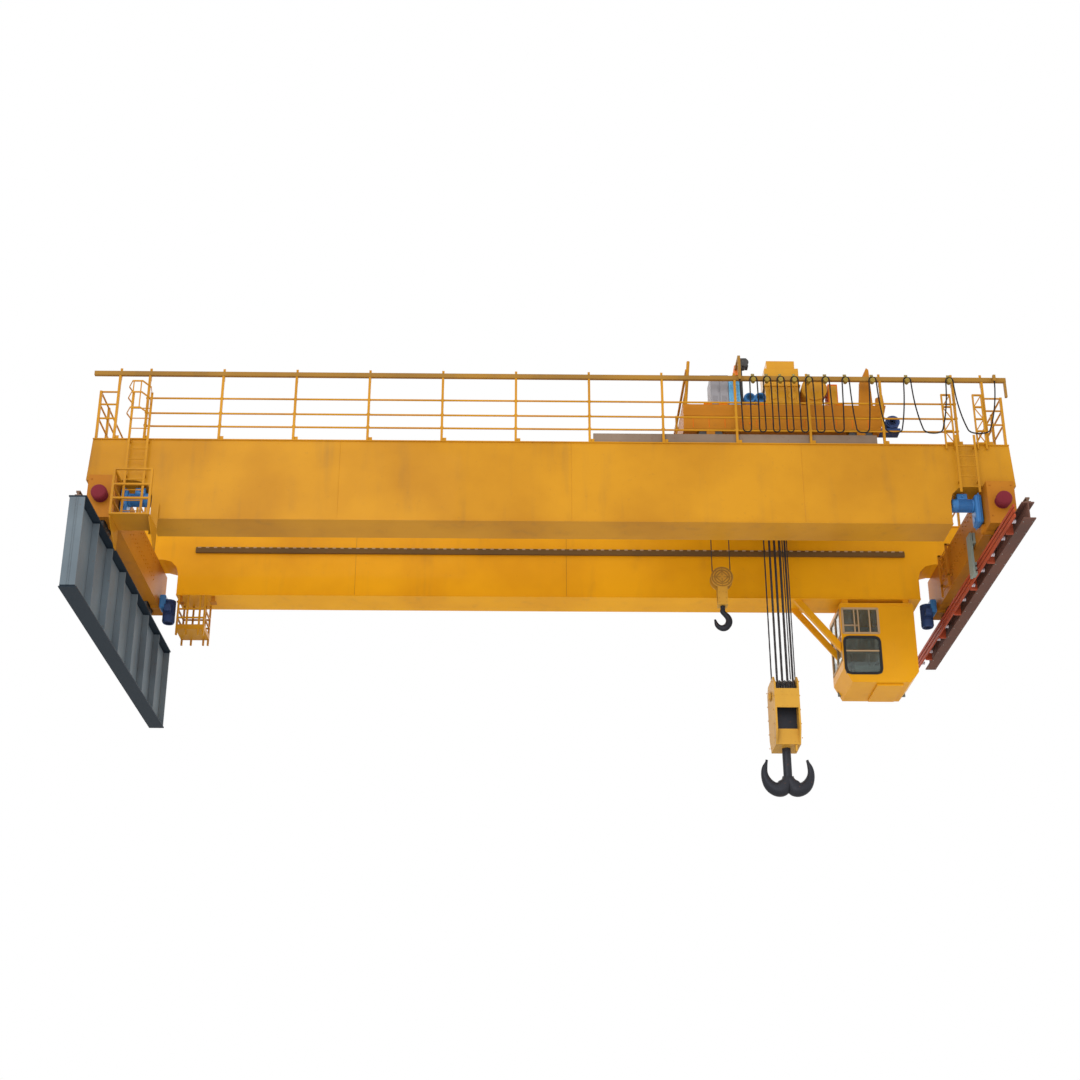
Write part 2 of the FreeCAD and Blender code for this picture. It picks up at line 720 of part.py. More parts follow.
def travel_drive(side, end):
    """Gearbox and motor inside one carriage: flat by the front wheel, hanging by the rear."""
    if side < 0:
        gear_x = "(carriage_width / 2 + carriage_plate)"
        motor_x = "(%s + drive_gear_width)" % gear_x
        middle_x = "(%s + drive_motor_reach)" % gear_x
    else:
        gear_x = "(span - carriage_width / 2 - carriage_plate - drive_gear_width)"
        motor_x = "(%s - drive_motor_length)" % gear_x
        middle_x = "(%s + drive_gear_width - drive_motor_reach)" % gear_x
    wheel_y = "(%d * wheel_base / 2)" % end
    gear_y = wheel_y + " - drive_gear_depth / 2"
    if end > 0:
        return fuse([
            box(gear_x, gear_y, AXLE + " - drive_gear_depth / 2", "drive_gear_width",
                "drive_gear_depth", "drive_gear_depth"),
            rod("Z", middle_x, wheel_y, AXLE + " - drive_motor_length", "drive_motor_radius",
                "drive_motor_length + drive_gear_depth / 2"),
        ])
    motor_z = "(%s - drive_drop)" % END_LOW
    gear_low = "(%s + wheel_radius * 0.36)" % AXLE
    return fuse([
        box(gear_x, gear_y, gear_low, "drive_gear_width", "drive_gear_depth",
            "%s + drive_motor_radius * 1.4 - %s" % (motor_z, gear_low)),
        rod("X", motor_x, wheel_y, motor_z, "drive_motor_radius", "drive_motor_length"),
        box(motor_x + " + drive_motor_length / 4", wheel_y + " - drive_box_width / 2",
            motor_z + " + drive_motor_radius * 0.7", "drive_motor_length / 2",
            "drive_box_width", "drive_box_width * 0.6"),
    ])


def collector():
    """Arm on the right carriage with three spring shoes that slide on the conductor bars."""
    bar_face = "(span - right_beam_flange / 2 - bar_reach - bar_thick)"
    low = "(runway_depth - right_beam_depth)"
    arm_y = "(0 - wheel_base / 2 + 700)"
    pieces = [
        box("span - carriage_width / 2 - 60", arm_y, CARRIAGE_LOW + " + 100", 60, 300, 300),
        box(bar_face + " - 120", arm_y, low + " + 30", 60, 300,
            CARRIAGE_LOW + " + 400 - " + low + " - 30"),
        box(bar_face + " - 120", arm_y, CARRIAGE_LOW + " + 100",
            "span - carriage_width / 2 - (%s - 120)" % bar_face, 300, 60),
    ]
    for index in range(3):
        level = low + " + bar_pitch * %g" % (index + 0.35)
        pieces.append(box(bar_face + " - 61", arm_y + " + 40", level, 60, 220, "bar_thick * 2"))
    return node("collector", fuse(pieces))


# ---------------------------------------------------------------- operator's cab

CAB_LEFT = "(span - cab_from_right - cab_length)"
CAB_TOP = "(%s - cab_gap)" % GIRDER_LOW
CAB_LOW = "(%s - cab_height)" % CAB_TOP
CAB_FACE = "%s" % REAR_FACE


def cab_outline(inset):
    """Side outline of the cab in X and Z, chamfered low on the left, drawn in by inset."""
    left = "(%s + %s)" % (CAB_LEFT, inset)
    right = "(%s + cab_length - %s)" % (CAB_LEFT, inset)
    low = "(%s + %s)" % (CAB_LOW, inset)
    top = "(%s - %s)" % (CAB_TOP, inset)
    return [(left + " + cab_chamfer / 2", low), (right + " - cab_chamfer * 0.6", low),
            (right, low + " + cab_chamfer * 0.75"), (right, top), (left, top),
            (left, low + " + cab_chamfer")]


def cab_shell():
    """Hollow cab with real walls, its front, side and rear window openings cut through."""
    middle = "%s + cab_depth / 2" % CAB_FACE
    outer = plate("XZ", cab_outline("0"), "cab_depth", place_y=middle)
    inner = plate("XZ", cab_outline("cab_wall"), "cab_depth - 2 * cab_wall", place_y=middle)
    openings = []
    for low_x, low_z, length, height in cab_windows_front():
        openings.append(box(low_x, CAB_FACE + " - 5", low_z, length, "cab_wall + 10", height))
    for low_y, low_z, width, height in cab_windows_side():
        openings.append(box(CAB_LEFT + " - 5", low_y, low_z, "cab_wall + 10", width, height))
        openings.append(box(CAB_LEFT + " + cab_length - cab_wall - 5", low_y, low_z,
                            "cab_wall + 10", width, height))
    return node("cab_shell", cut(outer, [inner] + openings))


def cab_windows_front():
    """Front openings: a shallow upper and a tall lower one on the left half."""
    left = CAB_LEFT + " + 60"
    return [(left, CAB_TOP + " - 880", "980", "740"),
            (left, CAB_TOP + " - 2080", "980", "1080")]


def cab_windows_side():
    """Side openings, an upper row over the full depth."""
    return [("%s + 120" % CAB_FACE, CAB_TOP + " - 880", "cab_depth - 240", "740"),
            ("%s + 120" % CAB_FACE, CAB_TOP + " - 1640", "cab_depth - 240", "640")]


def cab_glazing():
    """Glass panes seated in the window openings."""
    panes = []
    for low_x, low_z, length, height in cab_windows_front():
        panes.append(box(low_x, CAB_FACE + " + 15", low_z, length, "glass_thick", height))
    for low_y, low_z, width, height in cab_windows_side():
        panes.append(box(CAB_LEFT + " + 15", low_y, low_z, "glass_thick", width, height))
        panes.append(box(CAB_LEFT + " + cab_length - 15 - glass_thick", low_y, low_z,
                         "glass_thick", width, height))
    return node("cab_glazing", panes)


def cab_hangers():
    """Four hangers that carry the cab under the walkway, and its two slanting brace plates."""
    pieces = []
    for across in ("100", "cab_length - 260"):
        for away in ("60", "girder_width - 220"):
            pieces.append(box(CAB_LEFT + " + " + across, "%s + %s" % (REAR_FACE, away), CAB_TOP,
                              160, 160, "cab_gap"))
    for away, thick in (("150", "120"), ("700", "60")):
        pieces.append(plate("XZ", [
            (CAB_LEFT + " - 1240", GIRDER_LOW), (CAB_LEFT, GIRDER_LOW + " - 1560"),
            (CAB_LEFT, GIRDER_LOW + " - 1290"), (CAB_LEFT + " - 1020", GIRDER_LOW)],
            thick, place_y="%s + %s" % (REAR_FACE, away)))
    return node("cab_hangers", pieces)


# ---------------------------------------------------------------- trolley

def trolley_frame():
    """Welded trolley frame: two side beams, three cross beams and a deck with rope openings."""
    beam = "trolley_beam"
    half = "(girder_gauge + 2 * trolley_overhang) / 2"
    slant = "trolley_slant"
    pieces = []
    for side in (-1, 1):
        middle = "%d * (%s - %s / 2)" % (side, half, beam)
        pieces.append(plate("XZ", [
            (TROLLEY_LEFT, TROLLEY_LOW), (TROLLEY_RIGHT + " - " + slant, TROLLEY_LOW),
            (TROLLEY_RIGHT, TROLLEY_TOP), (TROLLEY_LEFT, TROLLEY_TOP)], beam, place_y=middle))
        lip = "0 - %s - 40" % half if side < 0 else half
        pieces.append(box(TROLLEY_LEFT, lip, TROLLEY_LOW + " + trolley_depth / 2",
                          "trolley_length - 200", 40, 40))
    span_y = "(girder_gauge + 2 * trolley_overhang) - 2 * " + beam
    start_y = "0 - %s + %s" % (half, beam)
    for across in ("0", "trolley_length * 0.34", "trolley_length - 560"):
        pieces.append(box(TROLLEY_LEFT + " + " + across, start_y, TROLLEY_LOW + " + 120", 380,
                          span_y, "trolley_depth - 120"))
    deck = box(TROLLEY_LEFT, start_y, TROLLEY_TOP + " - 40", "trolley_length", span_y, 40)
    openings = [
        box("main_hook_x - 420", -620, TROLLEY_LOW, 840, 1240, "trolley_depth + 10"),
        box("aux_hook_x - 380", -320, TROLLEY_LOW, 760, 640, "trolley_depth + 10"),
    ]
    pieces.append(deck)
    pieces.append(plate("XZ", [
        (TROLLEY_RIGHT + " - 700", TROLLEY_TOP + " - 10"),
        (TROLLEY_RIGHT + " - 330", TROLLEY_TOP + " - 10"),
        (TROLLEY_RIGHT + " - 370", TROLLEY_TOP + " + 1100"),
        (TROLLEY_RIGHT + " - 430", TROLLEY_TOP + " + 1160"),
        (TROLLEY_RIGHT + " - 640", TROLLEY_TOP + " + 700")],
        60, place_y="50 - " + half))
    pieces.append(plate("XZ", [
        (TROLLEY_RIGHT + " - 260", TROLLEY_TOP + " - 10"),
        (TROLLEY_RIGHT + " - 30", TROLLEY_TOP + " - 10"),
        (TROLLEY_RIGHT + " - 60", TROLLEY_TOP + " + 330"),
        (TROLLEY_RIGHT + " - 250", TROLLEY_TOP + " + 230")],
        60, place_y="50 - " + half))
    whole = fuse(pieces)
    pockets = []
    arches = []
    for along in (-1, 1):
        for side, rail_y in ((-1, FRONT), (1, REAR)):
            wheel_x = "(trolley_centre + %d * trolley_wheel_base / 2)" % along
            pockets.append(box(wheel_x + " - trolley_wheel_radius - 30",
                               rail_y + " - trolley_wheel_width / 2 - 25", TROLLEY_LOW + " - 1",
                               "2 * trolley_wheel_radius + 60", "trolley_wheel_width + 50",
                               "trolley_wheel_radius + 60"))
            for away in (-1, 1):
                arches.append(box(wheel_x + " - 110", "%s + %d * (trolley_wheel_width / 2 + 45)"
                                  " - 20" % (rail_y, away), TROLLEY_RAIL_TOP + " + 150", 220, 40,
                                  "%s - %s - 150" % (TROLLEY_LOW, TROLLEY_RAIL_TOP)))
    first = TROLLEY_LEFT + " + 380"
    second = TROLLEY_LEFT + " + trolley_length * 0.34 + 380"
    beams = [box(second, "%d * (main_sheave_radius + main_rope_radius) - 60" % side, ROPE_TOP,
                 "trolley_length * 0.66 - 940", 120, 200) for side in (-1, 1)]
    beams.append(box(first, -60, ROPE_TOP, "trolley_length * 0.34 - 380", 120, 200))
    return node("trolley_frame", fuse([cut(whole, openings + pockets)] + arches + beams))


def trolley_wheels():
    """Four trolley wheels on their axles."""
    pieces = []
    level = TROLLEY_RAIL_TOP + " + trolley_wheel_radius + running_gap"
    for along in (-1, 1):
        for rail_y in (FRONT, REAR):
            wheel_x = "trolley_centre + %d * trolley_wheel_base / 2" % along
            pieces.append(fuse([
                rod("Y", wheel_x, rail_y + " - trolley_wheel_width / 2", level,
                    "trolley_wheel_radius", "trolley_wheel_width"),
                rod("Y", wheel_x, rail_y + " - trolley_wheel_width / 2 - 25", level, 45,
                    "trolley_wheel_width + 50"),
            ]))
    return node("trolley_wheels", pieces)


NEAR = "(0 - (girder_gauge + 2 * trolley_overhang) / 2 + 60)"


def machinery():
    """Housings, motors and rails that stand on the trolley's near side."""
    node("control_cabinet", box("trolley_centre - 1900", NEAR, TROLLEY_TOP, 470, 620, 930))
    node("resistor_unit", box("trolley_centre - 1420", NEAR, TROLLEY_TOP, 290, 520, 880))
    node("hoist_motors", [
        fuse([rod("Y", "trolley_centre - 870", NEAR + " + 20", TROLLEY_TOP + " + 330", 130, 520),
              box("trolley_centre - 1000", NEAR + " + 60", TROLLEY_TOP, 260, 420, 230)]),
        fuse([rod("Y", "trolley_centre - 590", NEAR + " + 20", TROLLEY_TOP + " + 380", 120, 560),
              box("trolley_centre - 700", NEAR + " + 60", TROLLEY_TOP, 220, 440, 290)]),
    ])
    node("hoist_gearbox", fuse([
        box("trolley_centre - 460", NEAR + " + 40", TROLLEY_TOP, 900, 620, 1180),
        box("trolley_centre - 380", NEAR + " + 120", TROLLEY_TOP + " + 1180", 740, 460, 280),
    ]))
    node("drum_cover", fuse([
        rod("Y", "trolley_centre + 830", NEAR + " + 30", TROLLEY_TOP + " + 560", 340, 460),
        box("trolley_centre + 640", NEAR + " + 60", TROLLEY_TOP, 380, 380, 300)]))
    node("switch_box", box("trolley_centre + 1190", NEAR + " + 40", TROLLEY_TOP, 250, 420, 700))
    seat = TROLLEY_RIGHT + " - trolley_slant"
    middle_y = "(0 - (girder_gauge + 2 * trolley_overhang) / 2 + trolley_beam / 2)"
    node("cross_travel_motor", fuse([
        plate("XZ", [(seat, TROLLEY_LOW), (TROLLEY_RIGHT + " + 330", TROLLEY_LOW),
                     (TROLLEY_RIGHT + " + 330", TROLLEY_LOW + " + 60"),
                     (seat + " + trolley_slant * 60 / trolley_depth", TROLLEY_LOW + " + 60")],
              "trolley_beam", place_y=middle_y),
        rod("Y", TROLLEY_RIGHT + " + 140", middle_y + " - 230", TROLLEY_LOW + " + 230", 175,
            460),
        box(TROLLEY_RIGHT + " + 10", middle_y + " - 120", TROLLEY_LOW + " + 50", 260, 240,
            180),
    ]))


def drums():
    """Main and auxiliary rope drums over the openings, each on two pedestals."""
    pieces = []
    for middle_x, radius, length in (("main_hook_x", "drum_radius", "drum_length"),
                                     ("aux_hook_x", "drum_radius * 0.7", "drum_length / 2")):
        level = TROLLEY_TOP + " + drum_lift"
        solids = [rod("Y", middle_x, "0 - %s / 2" % length, level, radius, length),
                  rod("Y", middle_x, "0 - %s / 2 - 160" % length, level, 80,
                      length + " + 320")]
        for side in (-1, 1):
            solids.append(box(middle_x + " - 160", "%d * (%s / 2 + 90) - 50" % (side, length),
                              TROLLEY_TOP, 320, 100, "drum_lift + 120"))
        pieces.append(fuse(solids))
    return node("rope_drums", pieces)


def guard_rails():
    """Railing round the trolley's deck; the post at its near left corner leans inward."""
    left = TROLLEY_LEFT + " + 60"
    far = left + " + trolley_length - 180"
    half = "((girder_gauge + 2 * trolley_overhang) / 2 - 60)"
    corner_x = worth(left)
    corner_y = 30 - worth(half)
    foot = worth(TROLLEY_TOP)
    pieces = [between((corner_x + 20, corner_y, foot + 10),
                      (corner_x + 130, corner_y, foot + 1350), "post_size * 0.7"),
              box(left + " - 50", "0 - %s - 30" % half, TROLLEY_TOP, 160, 120, 30)]
    for across, away in ((left, "0 - 30"), (left, half + " - 60"), (far, "0 - 30"),
                         (far, half + " - 60")):
        pieces.append(box(across, away, TROLLEY_TOP, 60, 60, 1100))
    for level in ("1040", "560"):
        height = TROLLEY_TOP + " + " + level
        pieces.append(box(left + " + 40", "0 - " + half, height, 60, "2 * " + half, 60))
        pieces.append(box(far, "0 - 30", height, 60, half + " + 30", 60))
        pieces.append(box(left, half + " - 60", height, "trolley_length - 120", 60, 60))
    return node("guard_rails", fuse(pieces))


def warning_horn():
    """Horn and lamp on a mast beside the motors."""
    base_x = "(trolley_centre - 1090)"
    return node("warning_horn", fuse([
        box(base_x, NEAR + " + 120", TROLLEY_TOP, 60, 60, 1250),
        box(base_x + " - 20", NEAR + " + 60", TROLLEY_TOP + " + 1250", 240, 180, 60),
        rod("X", base_x + " - 60", NEAR + " + 150", TROLLEY_TOP + " + 1420", 120, 240),
        box(base_x, NEAR + " + 110", TROLLEY_TOP + " + 1290", 100, 80, 100),
    ]))


SADDLE = "(%s - 60)" % TRACK_LOW
CABLE_Y = "(%s - festoon_reach)" % RAILING_Y


def tow_arm():
    """Arm from the trolley's near side out over the track to the clamp of the power cable."""
    mast_x = "(tow_point - 35)"
    return node("tow_arm", fuse([
        box(mast_x, NEAR + " + 560", TROLLEY_TOP, 70, 70, 1200),
        box(mast_x, CABLE_Y + " - 35", TROLLEY_TOP + " + 1130", 70,
            "%s + 630 - (%s - 35)" % (NEAR, CABLE_Y), 70),
        box(mast_x, CABLE_Y + " - 35", SADDLE, 70, 70, "%s + 1130 - %s" % (TROLLEY_TOP, SADDLE)),
    ]))


# ---------------------------------------------------------------- hook blocks

MAIN_LOW = "(main_block_top - main_block_height)"
MAIN_SHEAVE = "(main_block_top - main_sheave_radius)"


def main_block():
    """Main hook block: cheeks each side of the sheaves, cover plates, pin and cross-head."""
    half_x = "(main_block_width / 2)"
    half_y = "(main_block_depth / 2)"
    pieces = []
    for low_x in ("0 - " + half_x, half_x + " - main_cheek"):
        pieces.append(plate("YZ", [
            ("0 - " + half_y, "main_block_top - 200"),
            ("0 - %s + 160" % half_y, "main_block_top"),
            (half_y + " - 160", "main_block_top"),
            (half_y, "main_block_top - 200"),
            (half_y, MAIN_LOW + " + 400"),
            (half_y + " - 180", MAIN_LOW),
            ("0 - %s + 180" % half_y, MAIN_LOW),
            ("0 - " + half_y, MAIN_LOW + " + 400")],
            "main_cheek", place_x="main_hook_x + %s + main_cheek / 2" % low_x))
    for low_y in ("0 - " + half_y, half_y + " - 30"):
        pieces.append(box("main_hook_x - " + half_x, low_y, "main_block_top - 900",
                          "main_block_width", 30, 520))
    pieces.append(box("main_hook_x - " + half_x, "0 - %s + 180" % half_y, MAIN_LOW,
                      "main_block_width", "main_block_depth - 360", 420))
    pieces.append(rod("X", "main_hook_x - %s - 20" % half_x, 0, MAIN_SHEAVE, "main_pin_radius",
                      "main_block_width + 40"))
    bore = rod("Z", "main_hook_x", 0, MAIN_LOW + " - 10", "main_shank_radius + running_gap", 500)
    return node("main_block_frame", cut(fuse(pieces), [bore]))


def sheave_offsets():
    """Where each main sheave stands from the middle of the block."""
    count = int(size("main_sheave_count"))
    return [(index - (count - 1) / 2) for index in range(count)]


def main_sheaves():
    """Grooved sheaves side by side on the block's pin."""
    pieces = []
    for share in sheave_offsets():
        middle = "(main_hook_x + %g * main_sheave_pitch)" % share
        ring = rod("X", middle + " - main_sheave_width / 2", 0, MAIN_SHEAVE,
                   "main_sheave_radius", "main_sheave_width")
        bore = rod("X", middle + " - main_sheave_width", 0, MAIN_SHEAVE,
                   "main_pin_radius + running_gap", "2 * main_sheave_width")
        pieces.append(cut(ring, [bore]))
    return node("main_sheaves", pieces)


def main_ropes():
    """Straight rope falls from the sheaves' rims to the beams in the trolley's opening."""
    falls = []
    reach = "(main_sheave_radius + main_rope_radius + running_gap)"
    for share in sheave_offsets():
        for side in (-1, 1):
            falls.append(rod("Z", "main_hook_x + %g * main_sheave_pitch" % share,
                             "%d * %s" % (side, reach), MAIN_SHEAVE, "main_rope_radius",
                             "%s - %s" % (ROPE_TOP, MAIN_SHEAVE)))
    return node("main_ropes", falls)


def aux_ropes():
    """The two falls of the auxiliary hoist."""
    reach = "(aux_sheave_radius + aux_rope_radius + running_gap)"
    return node("aux_ropes", [
        rod("Z", "aux_hook_x + %d * %s" % (side, reach), 0, "aux_sheave_height",
            "aux_rope_radius", ROPE_TOP + " - aux_sheave_height") for side in (-1, 1)])


def forged(rows, middle_y):
    """A smooth forged arm lofted through round sections square to its line."""
    wires = []
    for index, (across, up, radius) in enumerate(rows):
        before = rows[max(index - 1, 0)]
        after = rows[min(index + 1, len(rows) - 1)]
        way = FreeCAD.Vector(after[0] - before[0], 0, after[1] - before[1])
        circle = Part.Circle(FreeCAD.Vector(across, middle_y, up), way, radius)
        wires.append(Part.Wire([circle.toShape()]))
    return Part.makeLoft(wires, True, False)


# one arm of the ramshorn: offset, height and thickness as shares of half the hook's reach
RAMSHORN = ((0.00, 0.10, 0.26), (0.16, -0.16, 0.30), (0.42, -0.30, 0.29), (0.68, -0.18, 0.24),
            (0.86, 0.10, 0.18), (0.92, 0.42, 0.13), (0.87, 0.70, 0.09), (0.80, 0.92, 0.055))
# the single hook: offset, height and thickness as shares of its drop
SINGLE_HOOK = ((0.00, 0.05, 0.085), (0.02, -0.10, 0.090), (0.13, -0.22, 0.100),
               (0.20, -0.40, 0.115), (0.14, -0.58, 0.120), (-0.02, -0.68, 0.110),
               (-0.18, -0.62, 0.085), (-0.26, -0.48, 0.060), (-0.29, -0.36, 0.035))


def forging(label, profile, scale, across, root, sides, solids):
    """A forged hook: its arms lofted along the profile and joined to the shank's solids."""
    whole = solids[0]
    for solid in solids[1:]:
        whole = whole.fuse(solid)
    for side in sides:
        rows = [(across + side * share_x * scale, root + share_z * scale, share_r * scale)
                for share_x, share_z, share_r in profile]
        whole = whole.fuse(forged(rows, 0))
    piece = doc.addObject("Part::Feature", "Forging")
    piece.Shape = whole
    return node(label, piece)


def main_hook():
    """Double ramshorn hook with its shank and nut, swivelling in the cross-head."""
    across = size("main_hook_x")
    low = worth(MAIN_LOW)
    shank = size("main_shank_radius")
    drop = size("main_shank_drop")
    crosshead = 420
    gap = size("running_gap")
    return forging("main_hook", RAMSHORN, size("main_hook_reach") / 2, across, low - drop,
                   (-1, 1), [
        Part.makeCylinder(shank, drop + crosshead + 100,
                          FreeCAD.Vector(across, 0, low - drop)),
        Part.makeCylinder(shank * 1.7, 130, FreeCAD.Vector(across, 0, low + crosshead + gap)),
    ])


def aux_block():
    """Auxiliary block: round cheeks each side of its sheave, with a neck for the hook."""
    half = "(aux_block_width / 2)"
    low = "(aux_sheave_height - aux_neck_length)"
    pieces = []
    for low_y in ("0 - " + half, half + " - aux_cheek"):
        pieces.append(rod("Y", "aux_hook_x", low_y, "aux_sheave_height", "aux_cheek_radius",
                          "aux_cheek"))
        pieces.append(box("aux_hook_x - aux_neck_radius", low_y, low, "2 * aux_neck_radius",
                          "aux_cheek", "aux_neck_length"))
    pieces.append(box("aux_hook_x - aux_neck_radius", "0 - " + half, low,
                      "2 * aux_neck_radius", "aux_block_width", 130))
    pieces.append(rod("Y", "aux_hook_x", "0 - %s - 15" % half, "aux_sheave_height",
                      "aux_pin_radius", "aux_block_width + 30"))
    bore = rod("Z", "aux_hook_x", 0, low + " - 10", "aux_shank_radius + running_gap", 160)
    ring = rod("Y", "aux_hook_x", -60, "aux_sheave_height", "aux_sheave_radius", 120)
    hub = rod("Y", "aux_hook_x", -70, "aux_sheave_height", "aux_pin_radius + running_gap", 140)
    return node("aux_block", [cut(fuse(pieces), [bore]), cut(ring, [hub])])


def aux_hook():
    """Single forged hook that swivels in the auxiliary block's neck."""
    across = size("aux_hook_x")
    low = worth("aux_sheave_height - aux_neck_length")
    shank = size("aux_shank_radius")
    collar = 130
    gap = size("running_gap")
    drop = 120
    return forging("aux_hook", SINGLE_HOOK, size("aux_hook_drop"), across, low - drop, (1,), [
        Part.makeCylinder(shank, drop + collar + 60, FreeCAD.Vector(across, 0, low - drop)),
        Part.makeCylinder(shank * 1.45, 60, FreeCAD.Vector(across, 0, low + collar + gap)),
    ])


# ---------------------------------------------------------------- cable festoon

# how far along from the tow point to the fixed clamp each carrier hangs
CARRIER_SHARES = (0.0534, 0.1069, 0.1603, 0.2146, 0.2720, 0.3369, 0.4154, 0.5211, 0.6569, 0.8230)


def carrier_line(share):
    """Formula for the middle of a carrier."""
    return "(tow_point + %g * (fixed_point - tow_point))" % share


def carriers():
    """Carriers that roll on the track and hold the cable on a saddle in front of it."""
    for index, share in enumerate(CARRIER_SHARES, start=1):
        middle = carrier_line(share)
        side = "%s - track_width / 2 - 24" % RAILING_Y
        start = middle + " - carrier_length / 2"
        roller = "%s + track_depth + 22 + running_gap" % TRACK_LOW
        node("festoon_carrier_%02d" % index, fuse([
            box(start, side, SADDLE + " - 40", "carrier_length", 14, "track_depth + 150"),
            rod("Y", middle, side + " + 14", roller, 22, "track_width + 6"),
            rod("Y", middle, CABLE_Y + " - 35", SADDLE, "neck_radius - cable_radius - running_gap",
                "%s - (%s - 35)" % (side, CABLE_Y)),
        ]))


def cable_route():
    """Points of the power cable: over each saddle and down in a loop to the next."""
    start = size("tow_point")
    whole = size("fixed_point") - start
    neck = size("neck_radius")
    saddle = worth(SADDLE)
    drop = size("loop_depth")
    stops = [start - neck] + [start + share * whole for share in CARRIER_SHARES]
    stops.append(start + whole + neck)
    points = []
    for bay in range(len(stops) - 1):
        left = stops[bay] + neck
        right = stops[bay + 1] - neck
        top = saddle + neck
        wide = right - left
        inward = (wide - max(wide, neck * 2) * 0.34 - neck * 1.3) / 2
        inward = max(inward, 0)
        side = []
        for depth in (0.0, 0.15, 0.41, 0.67, 0.86, 1.0):
            bow = 9 * math.sin(math.pi * depth)
            side.append((inward * depth ** 2.4 + bow, top - drop * depth))
        first = list(side)
        last = [(wide - across, up) for across, up in reversed(side)]
        if bay == 0:
            first[:2] = [(0, saddle), (0, side[1][1])]
        if bay == len(stops) - 2:
            last[-2:] = [(wide, side[1][1]), (wide, saddle)]
        points += [(left + across, up) for across, up in first + last]
    return points


def rounded(points, line_y):
    """A wire of straight runs joined by the largest tangent arcs that the runs allow."""
    spots = [FreeCAD.Vector(across, line_y, up) for across, up in points]
    edges = []
    radii = []
    length = 0
    here = spots[0]
    for before, corner, after in zip(spots, spots[1:], spots[2:]):
        way_in = corner - before
        way_out = after - corner
        turn = way_in.getAngle(way_out)
        setback = 0.45 * min(way_in.Length, way_out.Length)
        radius = setback / math.tan(turn / 2)
        radii.append(radius)
        way_in.normalize()
        way_out.normalize()
        start = corner - way_in * setback
        finish = corner + way_out * setback
        inside = way_out - way_in
        inside.normalize()
        middle = corner + inside * (radius / math.cos(turn / 2) - radius)
        edges.append(Part.makeLine(here, start))
        edges.append(Part.Arc(start, middle, finish).toShape())
        length += (start - here).Length + radius * turn
        here = finish
    edges.append(Part.makeLine(here, spots[-1]))
    length += (spots[-1] - here).Length
    return Part.Wire(edges), radii, length


def festoon_cable():
    """The power cable as one tube from the tow arm to the fixed clamp."""
    radius = size("cable_radius")
    route = cable_route()
    wire, radii, length = rounded(route, worth(CABLE_Y))
    start = FreeCAD.Vector(route[0][0], worth(CABLE_Y), route[0][1])
    section = Part.Wire([Part.Circle(start, FreeCAD.Vector(0, 0, -1), radius).toShape()])
    tube = wire.makePipeShell([section], True, False, 2)
    print("festoon cable: length %.0f, section times length %.0f, volume %.0f, radii %.0f to %.0f"
          % (length, math.pi * radius ** 2 * length, tube.Volume, min(radii), max(radii)))
    piece = doc.addObject("Part::Feature", "Cable")
    piece.Shape = tube
    return node("festoon_cable", piece)


# ---------------------------------------------------------------- the whole crane

runway_girder()
right_runway()
node("runway_rails", [rail_section("0"), rail_section("span")])
conductor_bars()
girder("front_girder", FRONT, "front_inset")
girder("rear_girder", REAR, "rear_inset")
trolley_rails()
carriage("left_end_carriage", "0")
carriage("right_end_carriage", "span")
for end, rail_line in (("left", "0"), ("right", "span")):
    wheel(end + "_front_wheel", rail_line, -1)
    wheel(end + "_rear_wheel", rail_line, 1)
buffers()
front_railing()
rear_railing()
festoon_track()
node("end_railings", [end_railing(-1), end_railing(1)])
left_ladder()
right_ladder()
left_platform()
inspection_platform()
kick_plate()
cable_tray()
node("travel_drives", [travel_drive(side, end) for end in (-1, 1) for side in (-1, 1)])
collector()
cab_shell()
cab_glazing()
cab_hangers()
trolley_frame()
trolley_wheels()
machinery()
drums()
guard_rails()
warning_horn()
tow_arm()
main_block()
main_sheaves()
main_hook()
main_ropes()
aux_block()
aux_hook()
aux_ropes()
carriers()
festoon_cable()

doc.recompute()
for item in doc.Objects:
    if "Invalid" in item.State or "Error" in item.State:
        raise RuntimeError("%s failed: %s" % (item.Label, item.State))
for item in nodes:
    if item.Shape.isNull() or not item.Shape.isValid():
        raise RuntimeError(item.Label + " has no valid shape")

os.makedirs("parts", exist_ok=True)
for item in nodes:
    item.Shape.exportStep("parts/%s.step" % item.Label)
print(len(nodes), "sub-parts")
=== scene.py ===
import json
import math

import bmesh
import bpy
from mathutils import Matrix, Vector


